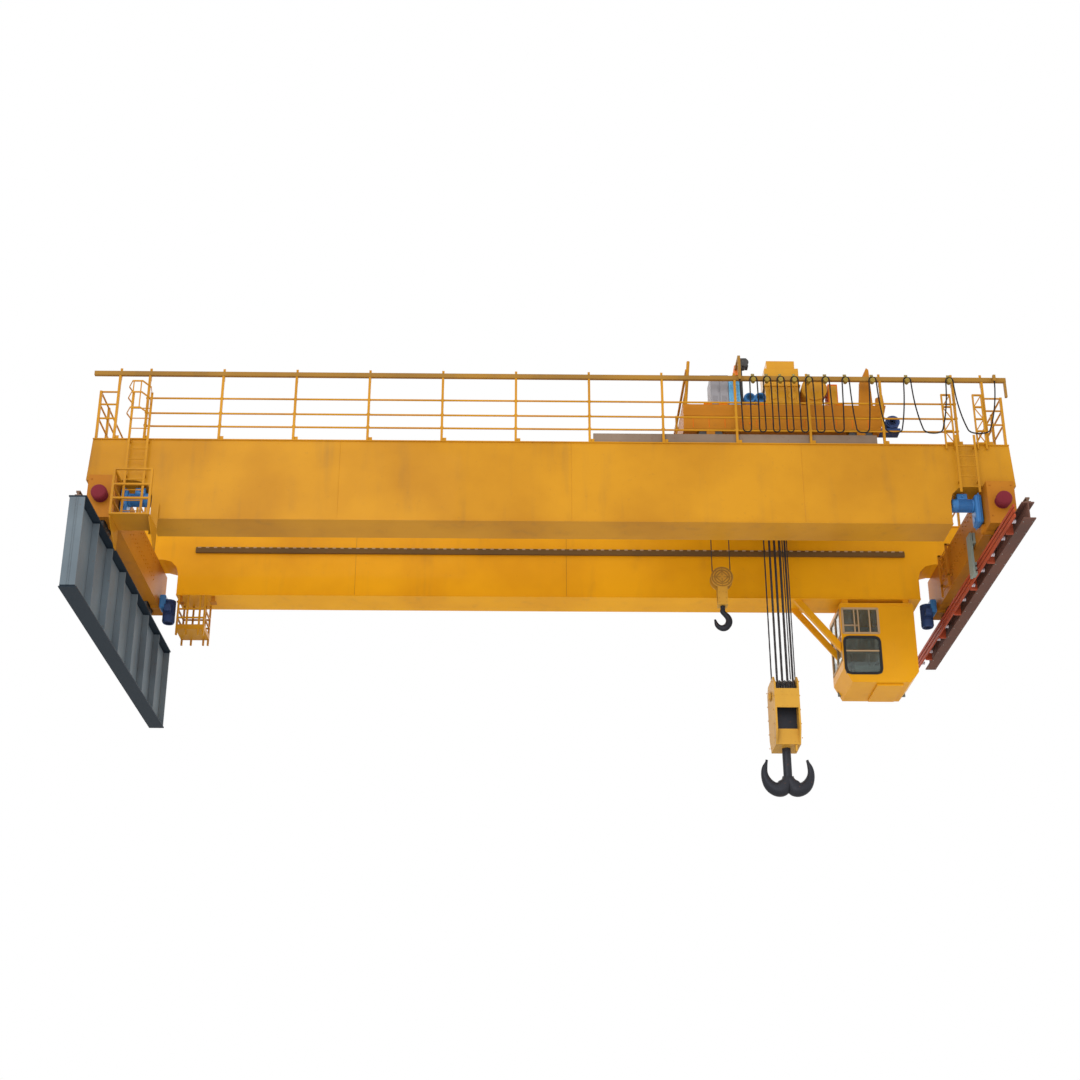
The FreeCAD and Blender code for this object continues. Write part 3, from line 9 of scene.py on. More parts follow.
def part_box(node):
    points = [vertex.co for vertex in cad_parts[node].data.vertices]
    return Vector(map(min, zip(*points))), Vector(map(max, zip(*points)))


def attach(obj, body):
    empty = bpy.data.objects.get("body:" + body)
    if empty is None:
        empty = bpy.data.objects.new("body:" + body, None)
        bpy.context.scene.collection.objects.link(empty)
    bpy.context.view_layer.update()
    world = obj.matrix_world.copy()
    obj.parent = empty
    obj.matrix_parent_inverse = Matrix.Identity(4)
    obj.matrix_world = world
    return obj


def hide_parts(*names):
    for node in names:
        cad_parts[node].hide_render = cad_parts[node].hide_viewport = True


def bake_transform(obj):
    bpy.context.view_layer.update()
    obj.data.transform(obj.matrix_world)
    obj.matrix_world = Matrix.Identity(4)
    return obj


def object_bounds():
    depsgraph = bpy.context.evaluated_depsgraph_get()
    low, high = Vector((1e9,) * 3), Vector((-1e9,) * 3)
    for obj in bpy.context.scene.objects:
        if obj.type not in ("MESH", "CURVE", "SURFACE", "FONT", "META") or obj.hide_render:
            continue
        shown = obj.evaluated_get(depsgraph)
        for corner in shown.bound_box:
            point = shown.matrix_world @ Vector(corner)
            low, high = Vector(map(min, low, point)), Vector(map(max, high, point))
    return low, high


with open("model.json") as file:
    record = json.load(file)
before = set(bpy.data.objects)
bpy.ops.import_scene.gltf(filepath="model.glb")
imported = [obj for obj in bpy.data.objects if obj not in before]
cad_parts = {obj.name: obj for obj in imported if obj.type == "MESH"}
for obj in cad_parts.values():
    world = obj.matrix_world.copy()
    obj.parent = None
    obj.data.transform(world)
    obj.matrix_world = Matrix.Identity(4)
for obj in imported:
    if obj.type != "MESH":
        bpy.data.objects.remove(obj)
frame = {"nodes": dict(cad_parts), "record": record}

CAD_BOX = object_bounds()
X, Y, Z = Vector((1, 0, 0)), Vector((0, 1, 0)), Vector((0, 0, 1))


# ---------------------------------------------------------------- camera

def camera():
    """A low camera in front of the bridge, looking up at it along the runway."""
    low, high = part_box("front_girder")
    back, down, aside = 33.25, 18.255, 0.784
    data = bpy.data.cameras.new("camera")
    data.sensor_width = 36
    data.lens = 50
    data.shift_y = 0.2
    data.clip_end = 400
    eye = bpy.data.objects.new("camera", data)
    eye.location = ((low.x + high.x) / 2 - aside, low.y - back, low.z - down)
    eye.rotation_euler = (math.radians(90 + 19.866), 0, math.radians(-0.79))
    bpy.context.scene.collection.objects.link(eye)
    bpy.context.scene.camera = eye


camera()


# ---------------------------------------------------------------- materials

def feed(tree, sockets, values):
    """Sets each socket to its value, or joins it to the socket given as its value."""
    for socket, value in zip(sockets, values):
        if isinstance(value, bpy.types.NodeSocket):
            tree.links.new(value, socket)
        else:
            socket.default_value = value


def add(tree, kind, **values):
    """A shader node with its named inputs fed."""
    made = tree.nodes.new("ShaderNode" + kind)
    feed(tree, [made.inputs[name.replace("_", " ")] for name in values], values.values())
    return made


def noise(tree, spot, scale, detail=4.0, stretch=(1, 1, 1)):
    """Soft noise in the object's own metres, drawn out along an axis by stretch."""
    placed = add(tree, "Mapping", Vector=spot, Scale=stretch)
    return add(tree, "TexNoise", Vector=placed.outputs["Vector"], Scale=scale,
               Detail=detail).outputs["Fac"]


def between(tree, value, low, high, first=0.0, last=1.0):
    """The value's share of the way from low to high, clamped, as first to last."""
    return add(tree, "MapRange", Value=value, From_Min=low, From_Max=high, To_Min=first,
               To_Max=last).outputs["Result"]


def times(tree, first, second):
    """Product of two values."""
    made = tree.nodes.new("ShaderNodeMath")
    made.operation = "MULTIPLY"
    feed(tree, made.inputs, (first, second))
    return made.outputs[0]


def mixed(tree, share, first, second):
    """Colour part of the way from the first to the second."""
    made = tree.nodes.new("ShaderNodeMixRGB")
    feed(tree, made.inputs, (share, first, second))
    return made.outputs[0]


def worn_edges(tree, radius):
    """A mask of the sharp outer edges, where paint rubs off."""
    soft = tree.nodes.new("ShaderNodeBevel")
    soft.samples = 4
    soft.inputs["Radius"].default_value = radius
    face = tree.nodes.new("ShaderNodeNewGeometry")
    dot = tree.nodes.new("ShaderNodeVectorMath")
    dot.operation = "DOT_PRODUCT"
    tree.links.new(soft.outputs["Normal"], dot.inputs[0])
    tree.links.new(face.outputs["Normal"], dot.inputs[1])
    return between(tree, dot.outputs["Value"], 0.97, 0.80)


def surface(name, colour, shade, dirt=(0.10, 0.07, 0.045), rough=0.45, metal=0.0, patches=0.6,
            runs=0.35, chips=0.12, chip_colour=(0.16, 0.07, 0.035), grain=55.0, bump=0.12,
            wear=0.35, coat=0.0, shine=0.10):
    """Painted or bare metal with mottling, dirt runs, chips, rubbed edges and fine grain."""
    look = bpy.data.materials.new(name)
    look.use_nodes = True
    tree = look.node_tree
    shader = tree.nodes["Principled BSDF"]
    spot = add(tree, "TexCoord").outputs["Object"]
    broad = between(tree, noise(tree, spot, 0.45, 5.0), 0.38, 0.66)
    tone = mixed(tree, times(tree, broad, patches), (*colour, 1), (*shade, 1))
    run = between(tree, noise(tree, spot, 3.2, 6.0, (1, 1, 0.10)), 0.52, 0.78)
    near = between(tree, noise(tree, spot, 0.9, 3.0), 0.35, 0.75)
    tone = mixed(tree, times(tree, times(tree, run, near), runs), tone, (*dirt, 1))
    chip = between(tree, noise(tree, spot, 11.0, 8.0), 0.66, 0.70)
    tone = mixed(tree, times(tree, chip, chips), tone, (*chip_colour, 1))
    fine = noise(tree, spot, grain, 5.0)
    if wear:
        edge = times(tree, worn_edges(tree, 0.012), between(tree, fine, 0.42, 0.62))
        tone = mixed(tree, times(tree, edge, wear), tone, (*chip_colour, 1))
    tree.links.new(tone, shader.inputs["Base Color"])
    tree.links.new(between(tree, fine, 0.3, 0.7, rough - 0.10, rough + 0.14),
                   shader.inputs["Roughness"])
    shader.inputs["Metallic"].default_value = metal
    shader.inputs["Coat Weight"].default_value = coat
    shader.inputs["Specular IOR Level"].default_value = shine
    wavy = add(tree, "Bump", Height=noise(tree, spot, 1.6, 2.0), Strength=0.10, Distance=0.02)
    rough_skin = add(tree, "Bump", Height=fine, Strength=bump, Distance=0.004,
                     Normal=wavy.outputs["Normal"])
    tree.links.new(rough_skin.outputs["Normal"], shader.inputs["Normal"])
    return look


def banded(look, box, edge, colour):
    """Darkens the lowest and highest edge of a box, as on an I-beam's flanges."""
    low, high = box[0].z + edge, box[1].z - edge
    tree = look.node_tree
    shader = tree.nodes["Principled BSDF"]
    under = shader.inputs["Base Color"].links[0].from_socket
    spot = add(tree, "TexCoord").outputs["Object"]
    level = add(tree, "SeparateXYZ", Vector=spot).outputs["Z"]
    below = between(tree, level, low, low - 0.01)
    above = between(tree, level, high, high + 0.01)
    tone = mixed(tree, above, mixed(tree, below, under, (*colour, 1)), (*colour, 1))
    tree.links.new(tone, shader.inputs["Base Color"])
    return look


def glass(name):
    """Greenish cab glass with dust and rain marks."""
    look = bpy.data.materials.new(name)
    look.use_nodes = True
    tree = look.node_tree
    shader = tree.nodes["Principled BSDF"]
    spot = add(tree, "TexCoord").outputs["Object"]
    smear = between(tree, noise(tree, spot, 2.5, 6.0, (1, 1, 0.4)), 0.45, 0.75)
    tree.links.new(mixed(tree, smear, (0.50, 0.60, 0.57, 1), (0.30, 0.36, 0.34, 1)),
                   shader.inputs["Base Color"])
    tree.links.new(between(tree, smear, 0, 1, 0.03, 0.16), shader.inputs["Roughness"])
    tree.links.new(between(tree, smear, 0, 1, 0.92, 0.70),
                   shader.inputs["Transmission Weight"])
    shader.inputs["IOR"].default_value = 1.45
    ripple = add(tree, "Bump", Height=noise(tree, spot, 2.0, 1.0), Strength=0.04, Distance=0.02)
    tree.links.new(ripple.outputs["Normal"], shader.inputs["Normal"])
    return look


def twisted(name, colour, shade, pitch, rough):
    """Greased wire rope: slanting bands of strands, darker in their grooves."""
    look = surface(name, colour, shade, rough=rough, metal=0.7, wear=0, runs=0.2, grain=160.0)
    tree = look.node_tree
    shader = tree.nodes["Principled BSDF"]
    spot = add(tree, "TexCoord").outputs["Object"]
    turned = add(tree, "Mapping", Vector=spot, Rotation=(0.0, math.radians(28), 0.0))
    strands = tree.nodes.new("ShaderNodeTexWave")
    strands.bands_direction = "Z"
    strands.inputs["Scale"].default_value = 1 / pitch
    tree.links.new(turned.outputs["Vector"], strands.inputs["Vector"])
    under = shader.inputs["Base Color"].links[0].from_socket
    grooves = between(tree, strands.outputs["Fac"], 0.0, 0.35, 0.75, 0.0)
    tree.links.new(mixed(tree, grooves, under, (0.012, 0.011, 0.010, 1)),
                   shader.inputs["Base Color"])
    lift = add(tree, "Bump", Height=strands.outputs["Fac"], Strength=0.6, Distance=0.006)
    tree.links.new(lift.outputs["Normal"], shader.inputs["Normal"])
    return look


RUST = (0.19, 0.075, 0.035)
BARE = (0.30, 0.29, 0.27)
FLANGE = 0.06     # thickness of the runway girder's flanges
LOOKS = {
    "runway_grey": banded(surface("runway_paint", (0.155, 0.190, 0.215), (0.085, 0.110, 0.135),
                                  rough=0.5, runs=0.5, chips=0.3),
                          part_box("left_runway_girder"), FLANGE, (0.020, 0.030, 0.042)),
    "conductor_red": surface("conductor_paint", (0.43, 0.070, 0.028), (0.24, 0.045, 0.022),
                             runs=0.4, chips=0.3, rough=0.5),
    "rail_steel": surface("rail_rust", (0.20, 0.12, 0.08), (0.10, 0.06, 0.045), metal=0.6,
                          rough=0.5, chip_colour=BARE, wear=0.8),
    "crane_yellow": surface("crane_paint", (0.570, 0.258, 0.013), (0.44, 0.185, 0.010), rough=0.42,
                            chips=0.10, runs=0.30, patches=0.8, coat=0.03),
    "carriage_orange": surface("carriage_paint", (0.50, 0.190, 0.014), (0.34, 0.110, 0.010),
                               runs=0.45, chips=0.15),
    "wheel_steel": surface("wheel_iron", (0.12, 0.115, 0.115), (0.06, 0.05, 0.045), metal=0.8,
                           rough=0.42, chip_colour=RUST, wear=0.2),
    "buffer_red": surface("buffer_rubber", (0.22, 0.022, 0.035), (0.12, 0.015, 0.022), rough=0.6,
                          wear=0.1, bump=0.3),
    "track_steel": surface("track_paint", (0.38, 0.19, 0.030), (0.22, 0.115, 0.030), rough=0.5,
                           runs=0.4),
    "carrier_dark": surface("carrier_brass", (0.36, 0.25, 0.045), (0.20, 0.13, 0.030), metal=0.3,
                            rough=0.5, chips=0.4, chip_colour=RUST),
    "cable_black": surface("cable_rubber", (0.016, 0.014, 0.014), (0.030, 0.024, 0.020), shine=0.1,
                           rough=0.55, wear=0, chips=0.05, runs=0.3, bump=0.25,
                           dirt=(0.16, 0.12, 0.09)),
    "kick_grey": surface("kick_metal", (0.26, 0.190, 0.14), (0.15, 0.10, 0.07), rough=0.6,
                         runs=0.5, chips=0.4, chip_colour=RUST),
    "motor_blue": surface("motor_paint", (0.055, 0.215, 0.50), (0.035, 0.14, 0.36), rough=0.35,
                          runs=0.3, chips=0.12, coat=0.2),
    "collector_green": surface("collector_paint", (0.27, 0.31, 0.27), (0.16, 0.20, 0.18),
                               rough=0.5, runs=0.4),
    "cab_yellow": surface("cab_paint", (0.80, 0.370, 0.010), (0.68, 0.290, 0.009), rough=0.34,
                          chips=0.05, runs=0.18, coat=0.08),
    "cab_glass": glass("cab_glass"),
    "cabinet_grey": surface("cabinet_paint", (0.34, 0.33, 0.35), (0.25, 0.24, 0.26), rough=0.42,
                            runs=0.3),
    "pale_blue": surface("pale_blue_paint", (0.20, 0.52, 0.78), (0.14, 0.40, 0.66), rough=0.4,
                         runs=0.2),
    "gear_yellow": surface("gear_paint", (0.66, 0.32, 0.022), (0.52, 0.22, 0.016), rough=0.36,
                           runs=0.2, coat=0.2),
    "box_orange": surface("trolley_paint", (0.86, 0.165, 0.004), (0.64, 0.110, 0.004), rough=0.42,
                          runs=0.4, chips=0.22),
    # Navy paint; also used on the hanging travel motors as painted shade.
    "navy": surface("navy_paint_and_painted_shade", (0.045, 0.085, 0.22), (0.025, 0.05, 0.14), rough=0.4,
                    runs=0.25),
    "drum_steel": surface("drum_steel", (0.24, 0.22, 0.20), (0.12, 0.10, 0.09), metal=0.8,
                          rough=0.42, chip_colour=RUST),
    "horn_dark": surface("horn_paint", (0.055, 0.055, 0.060), (0.10, 0.09, 0.08), rough=0.45,
                         chips=0.3, chip_colour=BARE),
    "block_yellow": surface("block_paint", (0.60, 0.32, 0.045), (0.44, 0.21, 0.032), rough=0.38,
                            runs=0.5, chips=0.25, dirt=(0.05, 0.04, 0.03)),
    "rope_steel": twisted("rope_strands", (0.085, 0.082, 0.088), (0.05, 0.045, 0.045), 0.030,
                          0.5),
    "hook_black": surface("hook_forging", (0.030, 0.032, 0.040), (0.055, 0.055, 0.062),
                          metal=0.5, rough=0.45, chips=0.35, chip_colour=RUST, bump=0.3),
}
GASKET = surface("gasket_rubber", (0.022, 0.022, 0.024), (0.05, 0.05, 0.05), rough=0.6, wear=0,
                 runs=0.1)
SEAT = surface("seat_vinyl", (0.045, 0.05, 0.06), (0.08, 0.08, 0.085), rough=0.55, wear=0,
               bump=0.4, grain=120.0)
LINING = surface("cab_lining", (0.20, 0.23, 0.22), (0.12, 0.15, 0.14), rough=0.6, runs=0.2,
                 wear=0.1)
TRIM = surface("window_frame", (0.52, 0.36, 0.20), (0.38, 0.24, 0.13), rough=0.45, runs=0.3)
ZINC = surface("zinc_bolts", (0.42, 0.41, 0.39), (0.26, 0.24, 0.22), metal=0.85, rough=0.4,
               chip_colour=RUST, chips=0.4, wear=0.1, grain=220.0)
CERAMIC = surface("insulator_glaze", (0.62, 0.56, 0.60), (0.45, 0.38, 0.42), rough=0.3, wear=0,
                  runs=0.4)
AMBER = surface("beacon_amber", (0.80, 0.20, 0.02), (0.60, 0.12, 0.02), rough=0.2, wear=0,
                runs=0.2, coat=0.6)
BEAM = surface("beam_rust", (0.16, 0.075, 0.055), (0.09, 0.055, 0.050), rough=0.6, runs=0.5,
               chips=0.5, chip_colour=RUST)
TRAY = surface("tray_brown", (0.17, 0.095, 0.030), (0.10, 0.060, 0.025), rough=0.6, runs=0.4)
# Painted light: the rear girder has the same yellow paint as the front one, and this brighter copy
# stands in for the light falling on it.
SUNLIT = surface("far_girder_painted_light", (0.88, 0.410, 0.007), (0.74, 0.320, 0.006), rough=0.42,
                 chips=0.10, runs=0.25, patches=0.8, coat=0.03)
# Looks that replace a node's slot surface: real paint on the beam and tray, painted light on the
# rear girder.
LOOK_OVERRIDES_WITH_PAINTED_LIGHT = {"right_runway_beam": BEAM, "cable_tray": TRAY, "rear_girder": SUNLIT}


def paint_nodes():
    """Every CAD node takes the surface of its material slot, save those in the override table; the
    rear girder's look there is painted light.
    """
    rows = frame["record"]["subparts"]
    slots = {row["node"]: row["material_slot"] for row in rows}
    for name, obj in frame["nodes"].items():
        obj.data.materials.clear()
        obj.data.materials.append(LOOK_OVERRIDES_WITH_PAINTED_LIGHT.get(name, LOOKS[slots[name]]))


# ---------------------------------------------------------------- building blocks

def mesh_object(name, mesh, look):
    """An object in the scene made from a filled bmesh, with one surface."""
    data = bpy.data.meshes.new(name)
    mesh.to_mesh(data)
    mesh.free()
    data.materials.append(look)
    made = bpy.data.objects.new(name, data)
    bpy.context.scene.collection.objects.link(made)
    return made


def piece(name, body, slot, build, look=None, smooth=False):
    """A mesh piece filled by build(mesh), painted as its slot or a look, riding on a body."""
    mesh = bmesh.new()
    build(mesh)
    made = mesh_object(name, mesh, look or LOOKS[slot])
    if smooth:
        made.data.polygons.foreach_set("use_smooth", [True] * len(made.data.polygons))
        made.data.set_sharp_from_angle(angle=math.radians(35))
    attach(made, body)
    return made


def block(mesh, low, high, round_off=0.0):
    """A box from its low to its high corner, its edges rounded off if asked."""
    low, high = Vector(low), Vector(high)
    size = Matrix.Diagonal((*(high - low), 1))
    made = bmesh.ops.create_cube(mesh, size=1, matrix=Matrix.Translation((low + high) / 2) @ size)
    if round_off:
        edges = list({edge for vert in made["verts"] for edge in vert.link_edges})
        bmesh.ops.bevel(mesh, geom=edges, offset=round_off, segments=2, affect="EDGES",
                        profile=0.5)


def bar(mesh, start, end, radius, sides=12):
    """A round bar between two points."""
    start, end = Vector(start), Vector(end)
    run = end - start
    turn = run.to_track_quat("Z", "Y").to_matrix().to_4x4()
    bmesh.ops.create_cone(mesh, cap_ends=True, segments=sides, radius1=radius, radius2=radius,
                          depth=run.length, matrix=Matrix.Translation((start + end) / 2) @ turn)


def lathe(mesh, centre, axis, rows, sides=32):
    """A turned form: rows of (distance along the axis, radius) round a centre."""
    centre, axis = Vector(centre), Vector(axis).normalized()
    across = axis.orthogonal().normalized()
    other = axis.cross(across)
    rings = []
    for along, radius in rows:
        ring = []
        for index in range(sides):
            angle = math.tau * index / sides
            ring.append(mesh.verts.new(centre + axis * along + radius
                                       * (across * math.cos(angle) + other * math.sin(angle))))
        rings.append(ring)
    for first, last in zip(rings, rings[1:]):
        for index in range(sides):
            after = (index + 1) % sides
            mesh.faces.new((first[index], first[after], last[after], last[index]))
    if rows[0] != rows[-1]:
        mesh.faces.new(list(reversed(rings[0])))
        mesh.faces.new(rings[-1])


def bolt(mesh, spot, axis, size):
    """Hexagon head on a washer, standing on a face at a spot."""
    spot, axis = Vector(spot), Vector(axis)
    bar(mesh, spot, spot + axis * size * 0.2, size * 0.95, 14)
    bar(mesh, spot + axis * size * 0.2, spot + axis * size * 0.85, size * 0.72, 6)


def bolt_ring(mesh, centre, axis, radius, size, count, turn=0.0):
    """Bolts evenly round an axis that runs along X or Y."""
    side = Y if abs(axis.x) > abs(axis.y) else X
    for index in range(count):
        angle = math.tau * (index + turn) / count
        bolt(mesh, Vector(centre) + radius * (side * math.cos(angle) + Z * math.sin(angle)),
             axis, size)


def steps(first, last, pitch):
    """Evenly spaced values from first to last, about pitch apart."""
    count = max(1, round((last - first) / pitch))
    return [first + (last - first) * index / count for index in range(count + 1)]


def motor(mesh, centre, axis, radius, length, up):
    """Finned motor casing with an end cowl and its rings round a centre line."""
    centre, axis, up = Vector(centre), Vector(axis).normalized(), Vector(up).normalized()
    start = centre - axis * length / 2
    lathe(mesh, start, axis, [
        (0, radius * 0.55), (0, radius * 1.04), (length * 0.08, radius * 1.04),
        (length * 0.09, radius * 0.92), (length * 0.70, radius * 0.92),
        (length * 0.71, radius * 1.05), (length * 0.93, radius * 1.05),
        (length, radius * 0.92), (length, radius * 0.5)], 36)
    side = axis.cross(up)
    for index in range(28):
        angle = math.tau * index / 28
        out = up * math.cos(angle) + side * math.sin(angle)
        low = start + axis * length * 0.10 + out * radius * 0.98
        bar(mesh, low, low + axis * length * 0.60, radius * 0.055, 4)
    for share in (0.25, 0.5, 0.75):
        ring = centre + axis * length * 0.502
        lathe(mesh, ring, axis, [(0, radius * share), (radius * 0.03, radius * share),
                                 (radius * 0.03, radius * share * 0.85), (0, radius * share * 0.85)],
              24)


WHEELS = ("left_front_wheel", "left_rear_wheel", "right_front_wheel", "right_rear_wheel")
RAIL_HALF = 0.075     # half the width of a runway rail's foot


# ---------------------------------------------------------------- runway

def runway_details():
    """Rail clips, stiffener weld beads, bar insulators and flange bolts on the runway."""
    low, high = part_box("left_runway_girder")
    rail_low, rail_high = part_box("runway_rails")
    right_low, right_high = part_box("right_runway_beam")

    def clips(mesh):
        for middle in ((low.x + high.x) / 2, (right_low.x + right_high.x) / 2):
            for along in steps(low.y + 0.2, high.y - 0.2, 0.65):
                for side in (-1, 1):
                    inner = middle + side * 0.055
                    outer = middle + side * 0.125
                    block(mesh, (min(inner, outer), along - 0.04, rail_low.z),
                          (max(inner, outer), along + 0.04, rail_low.z + 0.022), 0.004)
                    bolt(mesh, (middle + side * 0.1, along, rail_low.z + 0.022), Z, 0.018)

    def welds(mesh):
        for along in steps(low.y + 0.015, high.y - 0.015, 1.3):
            for side in (-1, 1):
                for edge in (-0.02, 0.02):
                    bar(mesh, (side * 0.024, along + edge, low.z + 0.04),
                        (side * 0.024, along + edge, high.z - 0.04), 0.006, 6)

    piece("rail_clips", "runway", "rail_steel", clips, look=ZINC)
    piece("runway_welds", "runway", "runway_grey", welds)

    bars_low, bars_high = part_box("conductor_bars")

    def insulators(mesh):
        for along in steps(bars_low.y + 0.3, bars_high.y - 0.3, 0.85):
            for level in steps(bars_low.z + 0.08, bars_high.z - 0.10, 0.13):
                lathe(mesh, (bars_low.x + 0.045, along, level), X,
                      [(0, 0.012), (0.0, 0.045), (0.025, 0.05), (0.03, 0.03), (0.05, 0.03),
                       (0.055, 0.05), (0.08, 0.045), (0.08, 0.012)], 14)

    piece("bar_insulators", "runway", "conductor_red", insulators, look=CERAMIC, smooth=True)

    def bar_bolts(mesh):
        for along in steps(right_low.y + 0.15, right_high.y - 0.15, 0.55):
            for side in (-1, 1):
                spot = ((right_low.x + right_high.x) / 2 + side * 0.11, along, right_low.z)
                bolt(mesh, spot, -Z, 0.016)

    piece("beam_bolts", "runway", "conductor_red", bar_bolts, look=ZINC)


# ---------------------------------------------------------------- bridge

def girder_details():
    """Weld beads, trolley rail clips, cable tray cleats and brackets on the two girders."""
    front_low, front_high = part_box("front_girder")
    rear_low, rear_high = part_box("rear_girder")

    def beads(mesh):
        for share in (0.27, 0.52, 0.77):
            across = front_low.x + (front_high.x - front_low.x) * share
            for face, side in ((front_low.y + 0.035, -1), (front_high.y - 0.035, 1),
                               (rear_low.y + 0.035, -1), (rear_high.y - 0.035, 1)):
                bar(mesh, (across, face, front_low.z + 0.03), (across, face, front_high.z - 0.03),
                    0.007, 6)
        for face in (front_low.y + 0.035, front_high.y - 0.035, rear_low.y + 0.035,
                     rear_high.y - 0.035):
            for level in (front_low.z + 0.027, front_high.z - 0.027):
                inset = 1.75 if level < front_high.z - 0.5 else 0.15
                bar(mesh, (front_low.x + inset, face, level), (front_high.x - inset, face, level),
                    0.008, 6)

    piece("girder_welds", "bridge", "crane_yellow", beads)

    rail_low, rail_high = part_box("trolley_rails")

    def clips(mesh):
        for middle in ((front_low.y + front_high.y) / 2, (rear_low.y + rear_high.y) / 2):
            for along in steps(rail_low.x + 0.15, rail_high.x - 0.15, 0.6):
                for side in (-1, 1):
                    away = middle + side * 0.085
                    block(mesh, (along - 0.04, away - 0.035, rail_low.z),
                          (along + 0.04, away + 0.035, rail_low.z + 0.02), 0.004)
                    bolt(mesh, (along, away + side * 0.005, rail_low.z + 0.02), Z, 0.017)

    piece("trolley_rail_clips", "bridge", "rail_steel", clips, look=ZINC)

    tray_low, tray_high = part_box("cable_tray")

    def cleats(mesh):
        for across in steps(tray_low.x + 0.1, tray_high.x - 0.1, 0.22):
            block(mesh, (across - 0.045, tray_low.y - 0.006, tray_high.z - 0.045),
                  (across + 0.045, tray_low.y + 0.045, tray_high.z - 0.012), 0.004)

    piece("tray_cleats", "bridge", "kick_grey", cleats, look=TRIM)

    def under_brackets(mesh):
        for across in (rear_low.x + 1.55, rear_low.x + 2.45):
            block(mesh, (across - 0.05, rear_low.y + 0.06, rear_low.z - 0.16),
                  (across + 0.05, rear_low.y + 0.10, rear_low.z), 0.004)
            block(mesh, (across - 0.09, rear_low.y + 0.04, rear_low.z - 0.19),
                  (across + 0.09, rear_low.y + 0.24, rear_low.z - 0.16), 0.004)
            bolt(mesh, (across, rear_low.y + 0.06, rear_low.z - 0.06), -Y, 0.016)

    piece("under_brackets", "bridge", "carriage_orange", under_brackets)


def railing_details():
    """Bolted feet under the posts and clamps where the rails cross them."""
    middle, pitch, count = 11.25, 1.893, 12
    low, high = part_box("front_railing")
    rear_low, rear_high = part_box("rear_railing")
    posts = [middle + pitch * (index - (count - 1) / 2) for index in range(count)]
    lines = (low.y + 0.03, (rear_low.y + rear_high.y) / 2)

    def feet(mesh):
        for middle_y in lines:
            for across in posts:
                block(mesh, (across - 0.06, middle_y - 0.045, low.z),
                      (across + 0.06, middle_y + 0.045, low.z + 0.012), 0.003)
                for side in (-1, 1):
                    bolt(mesh, (across + side * 0.044, middle_y, low.z + 0.012), Z, 0.010)

    def clamps(mesh):
        for middle_y in lines:
            for across in posts:
                for level in (0.42, 0.80, 1.23):
                    bar(mesh, (across - 0.045, middle_y, low.z + level),
                        (across + 0.045, middle_y, low.z + level), 0.031, 12)

    piece("railing_feet", "bridge", "crane_yellow", feet, look=ZINC)
    piece("railing_clamps", "bridge", "crane_yellow", clamps)


def carriage_details():
    """Bearing covers, hub bolts and bolted splices on the end carriages and their wheels."""
    cover = [(0, 0.03), (0, 0.13), (0.022, 0.13), (0.03, 0.10), (0.04, 0.09), (0.045, 0.02)]
    stand, lip, hub_face = 0.006, 0.026, 0.076
    cover_ring, hub_ring = 0.115, 0.21

    def covers(mesh):
        for node in WHEELS:
            low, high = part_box(node)
            middle = (low + high) / 2
            for side, face in ((-1, low.x), (1, high.x)):
                lathe(mesh, (face + side * stand, middle.y, middle.z), X * side, cover, 28)
                bolt_ring(mesh, (face + side * lip, middle.y, middle.z), X * side, cover_ring,
                          0.012, 8, 0.5)

    piece("bearing_covers", "bridge", "carriage_orange", covers, smooth=True)

    def hubs(mesh, node):
        low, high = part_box(node)
        for side in (-1, 1):
            bolt_ring(mesh, (low + high) / 2 + X * side * hub_face, X * side, hub_ring, 0.02, 6)

    for node in WHEELS:
        piece(node + "_bolts", node, "wheel_steel", lambda mesh: hubs(mesh, node), look=ZINC)

    def splices(mesh):
        recess, web, head = 0.025, 1.45, 0.022
        for node, side in (("left_end_carriage", 1), ("right_end_carriage", -1)):
            low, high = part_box(node)
            face = high.x - recess if side > 0 else low.x + recess
            for along in steps(low.y + web, high.y - web, 0.24):
                for level in (high.z - 0.12, high.z - 0.24, low.z + 0.45, low.z + 0.57):
                    bolt(mesh, (face, along, level), X * side, head)
            for end, way in ((low.y, -1), (high.y, 1)):
                for across in (-0.27, 0.27):
                    for level in (low.z + 0.25, high.z - 0.12):
                        bolt(mesh, ((low.x + high.x) / 2 + across, end, level), Y * way, head)

    piece("carriage_bolts", "bridge", "carriage_orange", splices)


def buffer_details():
    """Ribbed rubber buffers on flanged bases, in place of the plain cylinders."""
    rail_low, rail_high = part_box("runway_rails")
    low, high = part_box("buffers")
    radius, level, length = (high.z - low.z) / 2, (low.z + high.z) / 2, 0.26
    profile = [(0, 0.5), (0, 0.95), (0.025, 0.95), (0.03, 0.55), (0.07, 0.55), (0.08, 0.93),
               (0.12, 1.0), (0.135, 0.94), (0.15, 1.0), (0.19, 1.0), (0.205, 0.94), (0.22, 0.97),
               (0.25, 0.82), (length, 0.5)]

    def build(mesh):
        for rail in (rail_low.x + RAIL_HALF, rail_high.x - RAIL_HALF):
            for side, end in ((-1, low.y + length), (1, high.y - length)):
                lathe(mesh, (rail, end, level), Y * side,
                      [(along, radius * share) for along, share in profile], 40)

    made = piece("rubber_buffers", "bridge", "buffer_red", build, smooth=True)
    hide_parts("buffers")


